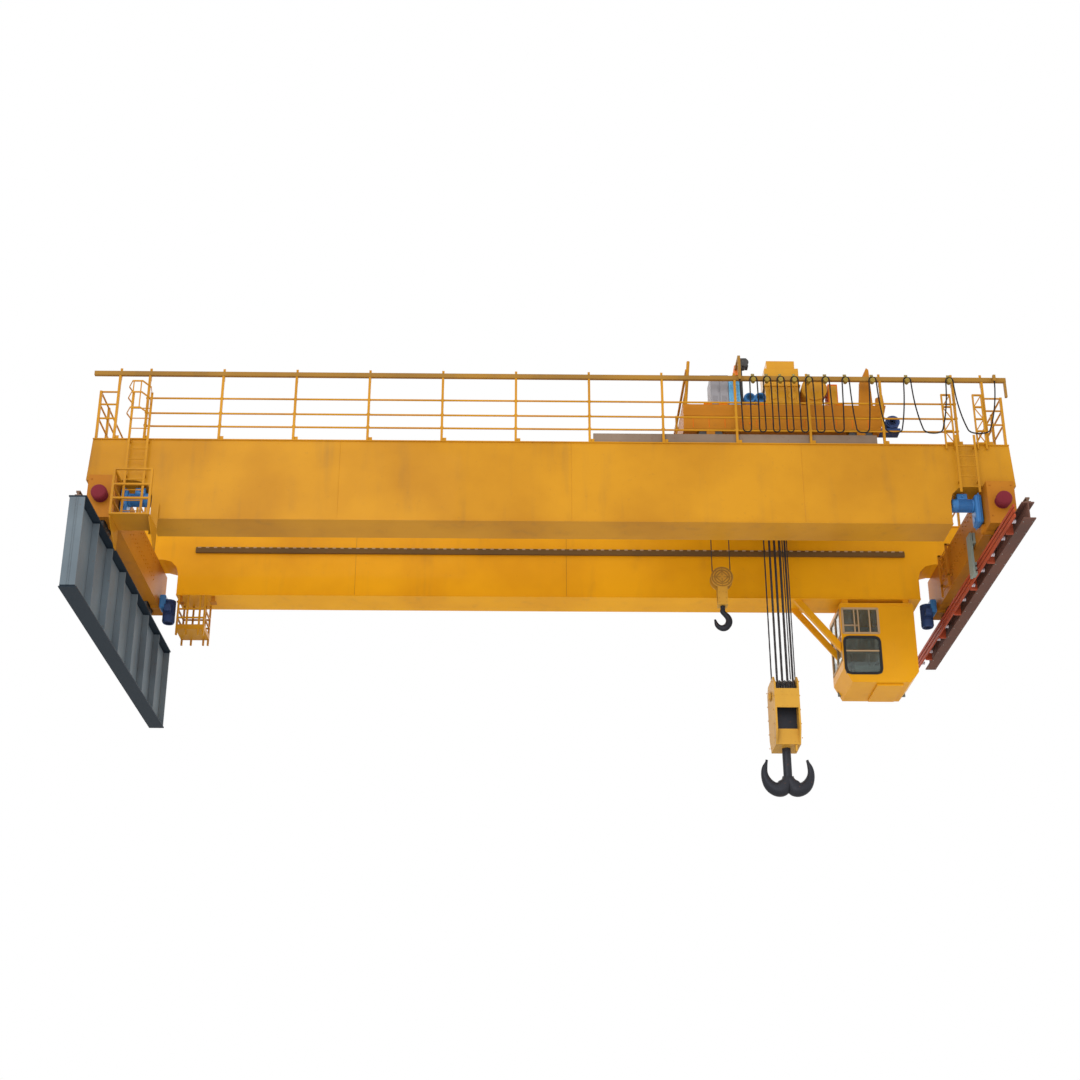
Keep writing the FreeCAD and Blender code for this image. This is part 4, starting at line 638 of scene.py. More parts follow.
def drive_details():
    """Finned motors and bolted gearboxes of the four travel drives, the hanging motors in navy as
    painted shade.
    """
    faces = ((1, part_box("left_end_carriage")[1].x), (-1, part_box("right_end_carriage")[0].x))
    casing, gear_width, half = 0.165, 0.18, 0.2
    line, motor_level, shaft_level, hanging_level = 2.3, 3.54, 3.12, 2.6

    def motors(mesh):
        for side, face in faces:
            centre = Vector((face + side * (gear_width + 0.29), -line, motor_level))
            motor(mesh, centre, X * side, casing, 0.56, Z)
            block(mesh, centre + Vector((-0.13, -0.11, 0.13)),
                  centre + Vector((0.13, 0.11, 0.29)), 0.01)
            bar(mesh, centre + Vector((0.0, -0.16, 0.2)), centre + Vector((0.0, -0.1, 0.2)),
                0.022, 12)

    made = piece("drive_motors", "bridge", "motor_blue", motors, smooth=True)

    def hanging(mesh):
        for side, face in faces:
            across = face + side * 0.26
            motor(mesh, (across, line, hanging_level), -Z, casing, 0.66, X)
            block(mesh, (across - 0.09, line - 0.25, hanging_level - 0.05),
                  (across + 0.09, line - 0.14, hanging_level + 0.15), 0.01)

    # Painted shade: the hanging motors are the same blue as the front ones, and the dark navy stands
    # in for the shadow they hang in.
    rear = piece("hanging_motors_painted_shade", "bridge", "motor_blue", hanging, look=LOOKS["navy"],
                 smooth=True)
    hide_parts("travel_drives")

    def gears(mesh):
        low, high, lip = 2.99, 3.78, 0.03
        for side, face in faces:
            inner, outer = sorted((face, face + side * gear_width))
            block(mesh, (inner, -line - half, low), (outer, -line + half, high), 0.05)
            edge_low, edge_high = sorted((face + side * 0.075, face + side * 0.105))
            block(mesh, (edge_low, -line - half - lip, low - 0.02),
                  (edge_high, -line + half + lip, high + 0.02), 0.01)
            block(mesh, (inner, line - half, 2.67), (outer, line + half, 3.07), 0.04)
            for level in steps(low + lip, high - 0.04, 0.12):
                for away in (-half - 0.015, half + 0.015):
                    bolt(mesh, (face + side * 0.105, away - line, level), X * side, 0.010)
            cap = Vector((face + side * half, -line, shaft_level))
            bar(mesh, cap - X * side * 0.015, cap, 0.085, 28)
            bolt_ring(mesh, cap, X * side, 0.066, 0.009, 6)

    boxes = piece("drive_gearboxes", "bridge", "motor_blue", gears)
    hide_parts("travel_drives")
    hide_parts("travel_drives")


def access_struts():
    """Braced ladder struts between the two girders' right ends, above the cab's side."""
    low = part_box("right_end_carriage")[0]
    near, far, half, tall = 0.55, 1.25, 0.03, 1.25
    line, outer, inner = low.x - 0.08, low.x - 0.11, low.x - 0.05

    def build(mesh):
        for away in (near, far):
            block(mesh, (outer, away - half, low.z - 0.02), (inner, away + half, low.z + tall),
                  0.006)
            for level in (0.28, tall - 2 * half):
                block(mesh, (outer, away - half, low.z + level),
                      (low.x + 0.02, away + half, low.z + level + 2 * half), 0.006)
        for level in steps(low.z + 0.1, low.z + 1.1, 0.25):
            bar(mesh, (line, near, level), (line, far, level), 0.014, 10)
        bar(mesh, (line, near, low.z + 0.1), (line, far, low.z + 1.1), 0.018, 10)

    piece("access_struts", "bridge", "carriage_orange", build)


def platform_details():
    """Grating bars on the two hanging decks."""
    def deck(mesh):
        for node, margin, back, up, pitch in (("left_platform", 0.05, 0.05, 0.615, 0.06),
                                              ("inspection_platform", 0.04, 0.03, 0.318, 0.05)):
            low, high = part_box(node)
            for across in steps(low.x + margin, high.x - margin, pitch):
                bar(mesh, (across, low.y + 0.03, low.z + up), (across, high.y - back, low.z + up),
                    0.008, 6)

    piece("deck_gratings", "bridge", "kick_grey", deck)


# ---------------------------------------------------------------- operator's cab

def window_rim(mesh, pane, face, out, wide, corner):
    """A round-cornered rim of a width about a pane, standing out of a face."""
    start_x, start_z, end_x, end_z = pane
    spots = []
    for middle_x, middle_z, first in ((end_x - corner, end_z - corner, 0),
                                      (start_x + corner, end_z - corner, 90),
                                      (start_x + corner, start_z + corner, 180),
                                      (end_x - corner, start_z + corner, 270)):
        for turn in (0, 30, 60, 90):
            angle = math.radians(first + turn)
            spots.append((middle_x + corner * math.cos(angle),
                          middle_z + corner * math.sin(angle), angle))
    rims = []
    for across, level, angle in spots:
        away = Vector((math.cos(angle), 0, math.sin(angle))) * wide
        here = Vector((across, face, level))
        rims.append([mesh.verts.new(here + away), mesh.verts.new(here - away),
                     mesh.verts.new(here - away - Y * out),
                     mesh.verts.new(here + away - Y * out)])
    for index, rim in enumerate(rims):
        after = rims[(index + 1) % len(rims)]
        for side in range(4):
            further = (side + 1) % 4
            mesh.faces.new((rim[side], rim[further], after[further], after[side]))


def cab_details():
    """Window frames and gasket, mullions, seat, inner fittings and outer panels of the cab."""
    low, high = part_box("cab_shell")
    left, wide, head, sill, band, foot = low.x + 0.06, 0.98, 0.14, 0.88, 1.00, 2.08
    upper = (left, high.z - sill, left + wide, high.z - head)
    lower = (left, high.z - foot, left + wide, high.z - band)

    def gaskets(mesh):
        window_rim(mesh, lower, low.y + 0.004, 0.02, 0.035, 0.14)

    def frames(mesh):
        window_rim(mesh, upper, low.y + 0.004, 0.018, 0.030, 0.01)
        for share in (0.33, 0.44, 0.76):
            across = upper[0] + (upper[2] - upper[0]) * share
            block(mesh, (across - 0.018, low.y - 0.012, upper[1]),
                  (across + 0.018, low.y + 0.02, upper[3]), 0.004)
        block(mesh, (upper[0], low.y - 0.012, upper[1] + 0.22),
              (upper[0] + 0.43, low.y + 0.02, upper[1] + 0.25), 0.004)
        middle = lower[1] + (lower[3] - lower[1]) * 0.62
        block(mesh, (lower[0], low.y - 0.014, middle - 0.02),
              (lower[2], low.y + 0.02, middle + 0.02), 0.004)
        near, far = low.y + 0.12, high.y - 0.12
        for start_z, end_z in ((high.z - sill, high.z - head), (high.z - 1.64, high.z - band)):
            for level in (start_z, end_z):
                block(mesh, (low.x - 0.016, near - 0.03, level - 0.03),
                      (low.x + 0.016, far + 0.03, level + 0.03), 0.005)
            for away in (near, (near + far) / 2, far):
                block(mesh, (low.x - 0.016, away - 0.03, start_z - 0.03),
                      (low.x + 0.016, away + 0.03, end_z + 0.03), 0.005)

    piece("window_gasket", "bridge", "cab_glass", gaskets, look=GASKET)
    piece("window_frames", "bridge", "cab_yellow", frames, look=TRIM)

    def seat(mesh):
        across, away, level = low.x + 0.72, low.y + 0.80, low.z + 0.10
        bar(mesh, (across, away, level - 0.04), (across, away, level + 0.40), 0.06, 18)
        block(mesh, (across - 0.27, away - 0.28, level + 0.40),
              (across + 0.27, away + 0.25, level + 0.53), 0.05)
        block(mesh, (across - 0.26, away + 0.18, level + 0.50),
              (across + 0.26, away + 0.32, level + 1.20), 0.05)
        for side in (-1, 1):
            block(mesh, (across + side * 0.36 - 0.09, away - 0.35, level + 0.55),
                  (across + side * 0.36 + 0.09, away + 0.1, level + 0.70), 0.03)
            bar(mesh, (across + side * 0.36, away - 0.25, level + 0.70),
                (across + side * 0.36, away - 0.28, level + 0.86), 0.014, 10)

    def fittings(mesh):
        block(mesh, (low.x + 0.08, high.y - 0.11, low.z + 0.1),
              (high.x - 0.08, high.y - 0.08, high.z - 0.1))
        block(mesh, (low.x + 0.30, low.y + 0.12, low.z + 0.10),
              (low.x + 1.1, low.y + 0.34, low.z + 0.55), 0.02)
        block(mesh, (high.x - 0.5, high.y - 0.5, low.z + 0.35),
              (high.x - 0.12, high.y - 0.12, high.z - 0.5), 0.02)

    piece("operator_seat", "bridge", "horn_dark", seat, look=SEAT, smooth=True)
    piece("cab_fittings", "bridge", "cabinet_grey", fittings, look=LINING)

    def panels(mesh):
        for across in (upper[2] + 0.12, high.x - 0.08):
            for level in steps(low.z + 0.45, high.z - 0.12, 0.28):
                bolt(mesh, (across, low.y, level), -Y, 0.009)
        bar(mesh, (upper[2] + 0.16, low.y, high.z - 0.06), (high.x - 0.04, low.y, high.z - 0.06),
            0.006, 6)
        block(mesh, (low.x + 0.02, low.y - 0.02, high.z),
              (high.x - 0.02, high.y + 0.02, high.z + 0.03), 0.008)
        block(mesh, (low.x + 0.9, low.y + 0.1, low.z - 0.06),
              (high.x - 0.42, high.y - 0.1, low.z), 0.015)

    piece("cab_panels", "bridge", "cab_yellow", panels)


# ---------------------------------------------------------------- trolley

BLOCK_MIDDLE, AUX_MIDDLE = 17.25, 15.79     # the two hooks' places along the bridge

# each drum's middle along the bridge, half length, radius and axis level
MAIN_DRUM = (BLOCK_MIDDLE, 1.46, 0.40, 7.05)
AUX_DRUM = (AUX_MIDDLE, 0.81, 0.28, 7.05)
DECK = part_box("hoist_motors")[0].z


def hoist_details():
    """Finned hoist motors and the gearbox's ribs, split flange and bearing covers."""
    low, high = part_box("hoist_motors")

    def motors(mesh):
        for across, radius in ((low.x + 0.13, 0.15), (high.x - 0.12, 0.155)):
            centre = Vector((across, low.y + 0.27, low.z + 0.29))
            motor(mesh, centre, -Y, radius, 0.50, Z)
            block(mesh, (across - 0.11, low.y + 0.10, low.z), (across + 0.11, low.y + 0.44,
                                                              low.z + 0.13), 0.01)
            block(mesh, (across - 0.07, low.y + 0.2, low.z + 0.40),
                  (across + 0.07, low.y + 0.36, low.z + 0.49), 0.01)

    made = piece("hoist_motor_casings", "trolley", "motor_blue", motors, smooth=True)
    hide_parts("hoist_motors")

    gear_low, gear_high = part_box("hoist_gearbox")

    def gear_ribs(mesh):
        for across in steps(gear_low.x + 0.12, gear_high.x - 0.12, 0.22):
            block(mesh, (across - 0.012, gear_low.y - 0.03, gear_low.z + 0.05),
                  (across + 0.012, gear_low.y + 0.01, gear_low.z + 0.62), 0.004)
        block(mesh, (gear_low.x - 0.03, gear_low.y - 0.035, gear_low.z + 0.62),
              (gear_high.x + 0.03, gear_high.y + 0.03, gear_low.z + 0.67), 0.008)
        for across in steps(gear_low.x + 0.03, gear_high.x - 0.03, 0.14):
            bolt(mesh, (across, gear_low.y - 0.017, gear_low.z + 0.67), Z, 0.013)
        for across in steps(gear_low.x + 0.2, gear_high.x - 0.2, 0.45):
            lathe(mesh, (across, gear_low.y, gear_low.z + 0.34), -Y,
                  [(0, 0.05), (0, 0.11), (0.02, 0.11), (0.03, 0.07), (0.035, 0.02)], 26)

    piece("gearbox_ribs", "trolley", "gear_yellow", gear_ribs)


def cabinet_details():
    """Resistor louvres, cabinet doors, and the bolts and doors beside the drum cover."""
    def louvres(mesh):
        unit_low, unit_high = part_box("resistor_unit")
        for level in steps(unit_low.z + 0.08, unit_high.z - 0.08, 0.045):
            block(mesh, (unit_low.x + 0.03, unit_low.y - 0.014, level - 0.008),
                  (unit_high.x - 0.03, unit_low.y + 0.006, level + 0.010), 0.003)

    piece("resistor_louvres", "trolley", "pale_blue", louvres)

    def doors(mesh):
        box_low, box_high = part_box("control_cabinet")
        inner = (box_high.x - box_low.x) / 2
        for start, end in ((box_low.x, box_low.x + inner), (box_low.x + inner, box_high.x)):
            block(mesh, (start + 0.012, box_low.y - 0.016, box_low.z + 0.04),
                  (end - 0.012, box_low.y + 0.01, box_high.z - 0.04), 0.006)
            bar(mesh, (end - 0.035, box_low.y - 0.03, box_low.z + 0.42),
                (end - 0.035, box_low.y - 0.03, box_low.z + 0.54), 0.010, 10)
            for level in steps(box_low.z + 0.10, box_low.z + 0.28, 0.03):
                block(mesh, (start + 0.05, box_low.y - 0.024, level),
                      (end - 0.05, box_low.y - 0.012, level + 0.012), 0.002)

    piece("cabinet_doors", "trolley", "cabinet_grey", doors)

    def covers(mesh):
        cover_low, cover_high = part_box("drum_cover")
        middle = (cover_low.x + cover_high.x) / 2
        radius = (cover_high.x - cover_low.x) / 2
        for index in range(12):
            angle = math.pi * index / 11
            bolt(mesh, (middle + radius * 0.93 * math.cos(angle), cover_low.y,
                        cover_high.z - radius + radius * 0.93 * math.sin(angle)), -Y, 0.012)
        box_low, box_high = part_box("switch_box")
        block(mesh, (box_low.x + 0.02, box_low.y - 0.015, box_low.z + 0.05),
              (box_high.x - 0.02, box_low.y + 0.01, box_high.z - 0.05), 0.006)
        bar(mesh, (box_high.x - 0.05, box_low.y - 0.03, box_low.z + 0.30),
            (box_high.x - 0.05, box_low.y - 0.03, box_low.z + 0.42), 0.010, 10)

    piece("cover_bolts", "trolley", "gear_yellow", covers)


def drum_details():
    """Cowl of the cross-travel motor and the two grooved rope drums on their stands."""
    def cross_motor(mesh):
        motor_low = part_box("cross_travel_motor")[0]
        centre = Vector((motor_low.x + 0.30, motor_low.y + 0.10, motor_low.z + 0.23))
        motor(mesh, centre, -Y, 0.17, 0.20, Z)
        bolt_ring(mesh, (centre.x, motor_low.y, centre.z), -Y, 0.14, 0.011, 6)

    piece("cross_motor_cowl", "trolley", "navy", cross_motor, smooth=True)

    def drums(mesh):
        pitch, end_cap, rim, groove, root = 0.045, 0.06, 1.04, 0.93, 0.89
        for middle_x, half, radius, centre_z in MAIN_DRUM, AUX_DRUM:
            rows = [(0, 0.06), (0, radius * rim), (0.05, radius * rim), (0.05, radius * groove)]
            for turn in range(int((2 * half - 2 * end_cap) / pitch)):
                start = end_cap + turn * pitch
                rows += [(start, radius * groove), (start + pitch / 2, radius * root)]
            rows += [(2 * half - 0.05, radius * groove), (2 * half - 0.05, radius * rim),
                     (2 * half, radius * rim), (2 * half, 0.06)]
            lathe(mesh, (middle_x, -half, centre_z), Y, rows, 40)
            for end, way in ((-half, -1), (half, 1)):
                bar(mesh, (middle_x, end, centre_z), (middle_x, end + way * -0.03, centre_z),
                    0.1, 24)
            for away in (-half + end_cap, half - end_cap):
                block(mesh, (middle_x - radius * 0.55, away - 0.05, DECK),
                      (middle_x + radius * 0.55, away + 0.05, centre_z - radius * 0.80), 0.01)

    made = piece("grooved_drums", "trolley", "drum_steel", drums, smooth=True)
    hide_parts("rope_drums")


def deck_details():
    """Bolts, welds and small feet along the edges of the trolley's deck."""
    frame_low, frame_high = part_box("trolley_frame")

    def deck_bolts(mesh):
        for away in (frame_low.y + 0.07, frame_high.y - 0.07):
            for across in steps(frame_low.x + 0.2, frame_high.x - 0.25, 0.32):
                bolt(mesh, (across, away, DECK), Z, 0.018)
        side = frame_low.y + 0.04
        for across in steps(frame_low.x + 0.25, frame_high.x - 0.5, 0.4):
            bar(mesh, (across, side, DECK - 0.69), (across, side, DECK - 0.44), 0.007, 6)
        for across in (frame_low.x + 1.55, frame_low.x + 1.72):
            bolt(mesh, (across, side, DECK - 0.57), -Y, 0.022)
        for start in (frame_low.x + 0.55, frame_low.x + 0.95, frame_low.x + 2.0,
                      frame_low.x + 4.0):
            block(mesh, (start, side + 0.02, DECK), (start + 0.22, side + 0.14, DECK + 0.07),
                  0.01)

    piece("deck_bolts", "trolley", "box_orange", deck_bolts)


def horn_details():
    """The horn's trumpet and the amber beacon on its post."""
    horn_low, horn_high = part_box("warning_horn")

    def horn(mesh):
        spot = Vector(((horn_low.x + horn_high.x) / 2, horn_low.y + 0.02, horn_high.z - 0.30))
        lathe(mesh, spot, -Y, [(-0.12, 0.03), (-0.10, 0.07), (0.0, 0.075), (0.005, 0.03),
                               (0.10, 0.045), (0.17, 0.08), (0.20, 0.12), (0.205, 0.115),
                               (0.15, 0.03)], 28)

    piece("horn_trumpet", "trolley", "horn_dark", horn, smooth=True)

    def beacon(mesh):
        centre = (horn_low.x - 0.03, (horn_low.y + horn_high.y) / 2, horn_low.z + 0.95)
        lathe(mesh, centre, Z, [(0, 0.02), (0, 0.13), (0.05, 0.13), (0.06, 0.11), (0.36, 0.06),
                                (0.40, 0.03), (0.41, 0.01)], 24)
        bar(mesh, (centre[0], centre[1], horn_low.z + 0.6), (centre[0], centre[1], centre[2]),
            0.02, 10)
        bar(mesh, (centre[0], centre[1], horn_low.z + 0.62), (horn_low.x + 0.06, centre[1],
                                                             horn_low.z + 0.62), 0.02, 10)

    piece("beacon", "trolley", "box_orange", beacon, look=AMBER, smooth=True)


# ---------------------------------------------------------------- hook blocks

def grooved(mesh, centre, axis, radius, width, hub):
    """A rope pulley: flanged rim with a groove, thin web and hub."""
    half = width / 2
    lathe(mesh, Vector(centre) - Vector(axis) * half, axis, [
        (width * 0.05, hub), (0, hub * 1.5), (0, hub * 1.7), (width * 0.30, hub * 1.8),
        (width * 0.30, radius * 0.82), (0, radius * 0.86), (0, radius + 0.03),
        (width * 0.12, radius + 0.03), (width * 0.34, radius), (width * 0.66, radius),
        (width * 0.88, radius + 0.03), (width, radius + 0.03), (width, radius * 0.86),
        (width * 0.70, radius * 0.82), (width * 0.70, hub * 1.8), (width, hub * 1.7),
        (width, hub * 1.5), (width * 0.95, hub)], 48)


def main_block_details():
    """Grooved sheaves, bolts, pin covers, near-black sheets of painted shade in the opening and hook
    nut of the main block.
    """
    low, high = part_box("main_sheaves")
    axle = Vector(((low.x + high.x) / 2, (low.y + high.y) / 2, (low.z + high.z) / 2))

    def sheaves(mesh):
        for index in range(4):
            across = low.x + 0.045 + 0.135 * index
            grooved(mesh, (across, axle.y, axle.z), X, 0.398, 0.088, 0.09)

    made = piece("grooved_sheaves", "main_block", "wheel_steel", sheaves, smooth=True)
    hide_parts("main_sheaves")
    frame_low, frame_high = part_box("main_block_frame")

    def fittings(mesh):
        for side, face in ((-1, frame_low.x), (1, frame_high.x)):
            lathe(mesh, (face, axle.y, axle.z), X * side,
                  [(0, 0.05), (0, 0.13), (0.02, 0.13), (0.03, 0.09), (0.05, 0.08)], 28)
            bolt_ring(mesh, (face + side * 0.02, axle.y, axle.z), X * side, 0.11, 0.013, 6)
            for level in steps(frame_low.z + 0.15, frame_high.z - 0.15, 0.38):
                for away in (frame_low.y + 0.12, frame_high.y - 0.12):
                    bolt(mesh, (face, away, level), X * side, 0.020)
        for across in steps(frame_low.x + 0.08, frame_high.x - 0.08, 0.13):
            for level in (frame_high.z - 0.56, frame_high.z - 0.86):
                bolt(mesh, (across, frame_low.y, level), -Y, 0.012)
        block(mesh, (frame_high.x - 0.16, frame_low.y + 0.20, frame_low.z - 0.18),
              (frame_high.x - 0.11, frame_low.y + 0.30, frame_low.z), 0.01)

    piece("block_fittings", "main_block", "block_yellow", fittings)

    # Painted shade: near-black sheets across the block's opening below the sheaves stand in for the
    # shadow inside the block.
    def opening_shade_sheets(mesh):
        for away in (-0.22, 0.20):
            block(mesh, (frame_low.x + 0.03, away, frame_low.z + 0.42),
                  (frame_high.x - 0.03, away + 0.012, axle.z - 0.375), 0.003)

    piece("block_opening_painted_shade", "main_block", "wheel_steel", opening_shade_sheets, look=LOOKS["hook_black"])

    hook_low, hook_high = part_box("main_hook")

    def nut(mesh):
        centre = ((hook_low.x + hook_high.x) / 2, 0, hook_high.z)
        rows = [(0, 0.03), (0, 0.115)]
        for turn in range(6):
            rows += [(-0.012 - turn * 0.02, 0.124), (-0.022 - turn * 0.02, 0.116)]
        rows += [(-0.13, 0.124), (-0.135, 0.03)]
        lathe(mesh, centre, Z, rows, 30)

    piece("hook_thread", "main_hook", "hook_black", nut, smooth=True)


def aux_block_details():
    """Rings, spokes and bolts on the auxiliary block's round cheeks."""
    sheave_low, sheave_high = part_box("aux_block")

    def small_block(mesh):
        hub, spoke = 0.04, 0.17
        middle_x = (sheave_low.x + sheave_high.x) / 2
        level = sheave_high.z - 0.30
        for side, face in ((-1, sheave_low.y + 0.015), (1, sheave_high.y - 0.015)):
            for radius in (0.27, 0.20):
                lathe(mesh, (middle_x, face, level), Y * side,
                      [(0, radius - 0.02), (0, radius + 0.012), (0.014, radius + 0.006),
                       (0.014, radius - 0.014), (0, radius - 0.02)], 36)
            centre = Vector((middle_x, face, level))
            bolt_ring(mesh, centre, Y * side, 0.235, 0.013, 8)
            for out, after in ((X, Z), (Z, -X), (-X, -Z), (-Z, X)):
                bar(mesh, centre + out * spoke, centre + after * spoke, 0.012, 8)
                bar(mesh, centre + out * hub, centre + out * spoke, 0.010, 8)
            for drop in (0.45, 0.62, 0.74):
                for across in (-0.09, 0.09):
                    bolt(mesh, (middle_x + across, face, level - drop), Y * side, 0.012)

    piece("aux_block_fittings", "aux_block", "block_yellow", small_block,
          look=LOOKS["track_steel"])


def rope(name, across, away, low, high, radius):
    """A laid wire rope from the trolley to a block: lobed strands that twist along it."""
    lobes, sides, pitch = 6, 12, 0.35
    rings = int((high - low) / 0.035)
    mesh = bmesh.new()
    rows = []
    for ring in range(rings + 1):
        level = low + (high - low) * ring / rings
        row = []
        for index in range(sides):
            angle = math.tau * (index / sides + level / pitch / lobes)
            out = radius * (1.0 if index % 2 else 0.84)
            row.append(mesh.verts.new((across + out * math.cos(angle),
                                       away + out * math.sin(angle), level)))
        rows.append(row)
    for first, last in zip(rows, rows[1:]):
        for index in range(sides):
            after = (index + 1) % sides
            mesh.faces.new((first[index], first[after], last[after], last[index]))
    mesh.faces.new(list(reversed(rows[0])))
    mesh.faces.new(rows[-1])
    made = mesh_object(name, mesh, LOOKS["rope_steel"])
    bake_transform(made)
    return made


def ropes():
    """All falls of the main and auxiliary hoists, and the drums' lead lines."""
    pitch, top = 0.135, 5.95
    sides = (("near", -1), ("far", 1))
    made = []
    for index in range(4):
        across = BLOCK_MIDDLE + pitch * (index - 1.5)
        for word, side in sides:
            made.append(rope("main_fall_%d_%s" % (index + 1, word), across, side * 0.42, -0.78,
                             top, 0.0195))
    for index, across in enumerate((BLOCK_MIDDLE + 0.18, BLOCK_MIDDLE + 0.30)):
        for word, side in sides:
            made.append(rope("lead_fall_%d_%s" % (index + 1, word), across, side * 0.18, -0.37,
                             6.59, 0.0155))
    for fall in made:
        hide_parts("main_ropes")
    for index, across in enumerate((AUX_MIDDLE - 0.239, AUX_MIDDLE + 0.239)):
        fall = rope("aux_fall_%d" % (index + 1), across, 0, 2.59, top, 0.0138)
        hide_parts("aux_ropes")


# ---------------------------------------------------------------- power cable

# where the cable is towed and fixed, and each carrier's share of the way between them
TOW, FIXED = 16.1, 22.725
SHARES = (0.0534, 0.1069, 0.1603, 0.2146, 0.2720, 0.3369, 0.4154, 0.5211, 0.6569, 0.8230)
# radius over a saddle, level of the saddles, depth of a loop and the cable's place in Y
NECK, SADDLE, DROP, LINE = 0.092, 6.99, 1.66, -2.70
CABLE_RADIUS = 0.018


def cable_points():
    """The cable's control points: over each saddle and down in a loop to the next."""
    stops = [TOW - NECK] + [TOW + share * (FIXED - TOW) for share in SHARES] + [FIXED + NECK]
    points = []
    for bay, (here, there) in enumerate(zip(stops, stops[1:])):
        left, right = here + NECK, there - NECK
        wide = right - left
        inward = max((wide - max(wide, NECK * 2) * 0.34 - NECK * 1.3) / 2, 0)
        side = []
        for depth in (0.0, 0.15, 0.41, 0.67, 0.86, 1.0):
            bow = 0.009 * math.sin(math.pi * depth)
            side.append((inward * depth ** 2.4 + bow, SADDLE + NECK - DROP * depth))
        first = list(side)
        last = [(wide - across, up) for across, up in reversed(side)]
        if bay == 0:
            first[:2] = [(0, SADDLE), (0, side[1][1])]
        if bay == len(stops) - 2:
            last[-2:] = [(wide, side[1][1]), (wide, SADDLE)]
        points += [(left + across, up) for across, up in first + last]
    return points


def festoon_cable():
    """The black power cable, a smooth tube on its route, between the bridge and the trolley."""
    def route(name, radius):
        curve = bpy.data.curves.new(name, "CURVE")
        curve.dimensions = "3D"
        curve.resolution_u = 6
        curve.bevel_depth = radius
        curve.bevel_resolution = 3
        curve.use_fill_caps = True
        spots = cable_points()
        spline = curve.splines.new("NURBS")
        spline.points.add(len(spots) - 1)
        for point, (across, up) in zip(spline.points, spots):
            point.co = (across, LINE, up, 1)
        spline.order_u = 3
        spline.use_endpoint_u = True
        holder = bpy.data.objects.new(name, curve)
        bpy.context.scene.collection.objects.link(holder)
        bpy.context.view_layer.update()
        graph = bpy.context.evaluated_depsgraph_get()
        data = bpy.data.meshes.new_from_object(holder.evaluated_get(graph))
        bpy.data.objects.remove(holder)
        return data

    line = route("cable_line", 0.0)
    data = route("cable_tube", CABLE_RADIUS)
    data.name = "power_cable"
    data.materials.clear()
    data.materials.append(LOOKS["cable_black"])
    data.polygons.foreach_set("use_smooth", [True] * len(data.polygons))
    tube = bpy.data.objects.new("power_cable", data)
    bpy.context.scene.collection.objects.link(tube)
    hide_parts("festoon_cable")
    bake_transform(tube)


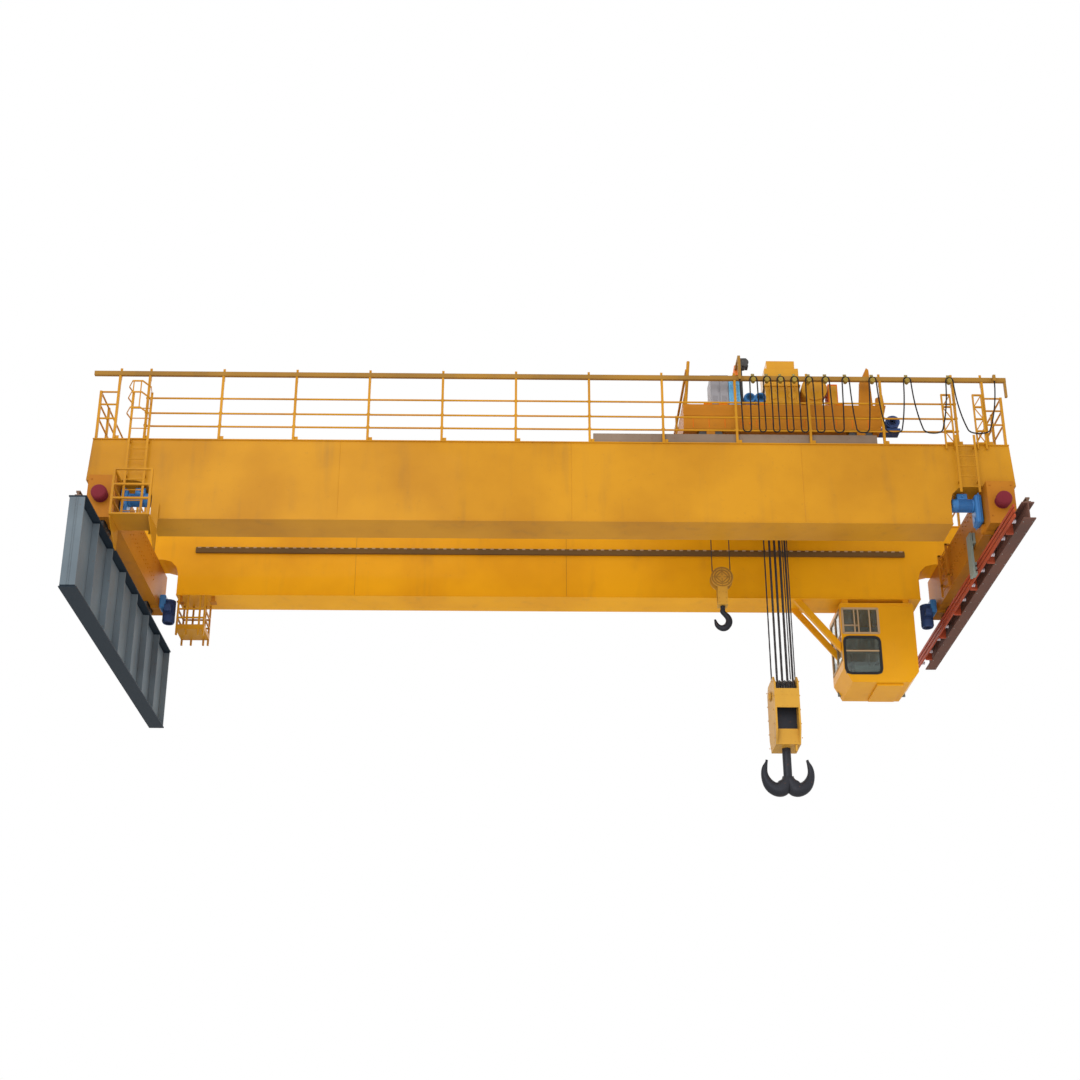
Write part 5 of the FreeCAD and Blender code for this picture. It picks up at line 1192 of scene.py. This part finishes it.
def carrier_details():
    """Carriers: a rounded plate, a flanged roller on the track and a saddle under the cable."""
    def saddle(mesh, middle, level, near, far, wide, tall):
        rows = []
        for away in (near, far):
            rows.append([mesh.verts.new((middle + wide * math.cos(math.tau * index / 36), away,
                                         level + tall * math.sin(math.tau * index / 36)))
                         for index in range(36)])
        for index in range(36):
            after = (index + 1) % 36
            mesh.faces.new((rows[0][index], rows[0][after], rows[1][after], rows[1][index]))
        mesh.faces.new(rows[0])
        mesh.faces.new(list(reversed(rows[1])))

    for number in range(len(SHARES)):
        node = "festoon_carrier_%02d" % (number + 1)
        low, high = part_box(node)
        middle = (low.x + high.x) / 2
        front, back = high.y - 0.100, high.y - 0.086
        level, roller = low.z + 0.069, high.z - 0.0277

        def build(mesh):
            block(mesh, (middle - 0.045, front, low.z + 0.029), (middle + 0.045, back, high.z),
                  0.005)
            lathe(mesh, (middle, back - 0.002, roller), Y,
                  [(0, 0.006), (0, 0.0220), (0.012, 0.0220), (0.076, 0.0220), (0.084, 0.0200),
                   (0.086, 0.006)], 24)
            saddle(mesh, middle, level, low.y + 0.006, front + 0.001, 0.046, 0.066)
            saddle(mesh, middle, level, low.y, low.y + 0.007, 0.058, 0.069)
            saddle(mesh, middle, level, front - 0.030, front - 0.023, 0.058, 0.069)
            lathe(mesh, (middle, low.y + 0.001, level), -Y,
                  [(0, 0.006), (0, 0.020), (0.006, 0.016), (0.008, 0.006)], 18)

        def bolts(mesh):
            for across in (-0.03, 0.03):
                for up in (0.16, 0.22):
                    bolt(mesh, (middle + across, front, low.z + up), -Y, 0.009)
            bolt(mesh, (middle, front, roller), -Y, 0.013)

        made = piece(node + "_body", node, "carrier_dark", build, smooth=True)
        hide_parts(node)
        piece(node + "_bolts", node, "carrier_dark", bolts, look=ZINC)


# ---------------------------------------------------------------- studio

def area_light(name, place, aim, size, power):
    """A soft square light aimed at a point."""
    data = bpy.data.lights.new(name, "AREA")
    data.shape = "SQUARE"
    data.size = size
    data.energy = power
    lamp = bpy.data.objects.new(name, data)
    lamp.location = place
    lamp.rotation_euler = (Vector(aim) - Vector(place)).to_track_quat("-Z", "Y").to_euler()
    bpy.context.scene.collection.objects.link(lamp)


def studio():
    """White surroundings, a pale floor far below and four soft lights."""
    low, high = CAD_BOX
    middle = (Vector(low) + Vector(high)) / 2
    world = bpy.data.worlds.new("studio")
    world.use_nodes = True
    world.node_tree.nodes["Background"].inputs[0].default_value = (1.0, 1.0, 1.0, 1)
    world.node_tree.nodes["Background"].inputs[1].default_value = 1.0
    bpy.context.scene.world = world
    bpy.context.scene.view_settings.view_transform = "Standard"
    floor_level = -16.6
    bpy.ops.mesh.primitive_plane_add(size=260, location=(middle.x, middle.y, floor_level))
    floor = bpy.context.object
    floor.name = "floor"
    floor.data.materials.append(surface("pale_floor", (0.72, 0.71, 0.69), (0.66, 0.65, 0.63),
                                        rough=0.8, wear=0, chips=0.02, runs=0.05, grain=8.0))
    area_light("key", (middle.x - 12, -30, 14), middle, 16, 2600)
    area_light("fill", (middle.x + 16, -26, -8), middle, 18, 500)
    area_light("low", (middle.x, -24, -10), (middle.x, high[1], middle.z), 14, 1500)
    area_light("rim", (middle.x, 26, 20), middle, 16, 900)


paint_nodes()
runway_details()
girder_details()
railing_details()
carriage_details()
buffer_details()
drive_details()
access_struts()
platform_details()
cab_details()
hoist_details()
cabinet_details()
drum_details()
deck_details()
horn_details()
main_block_details()
aux_block_details()
ropes()
festoon_cable()
carrier_details()
studio()
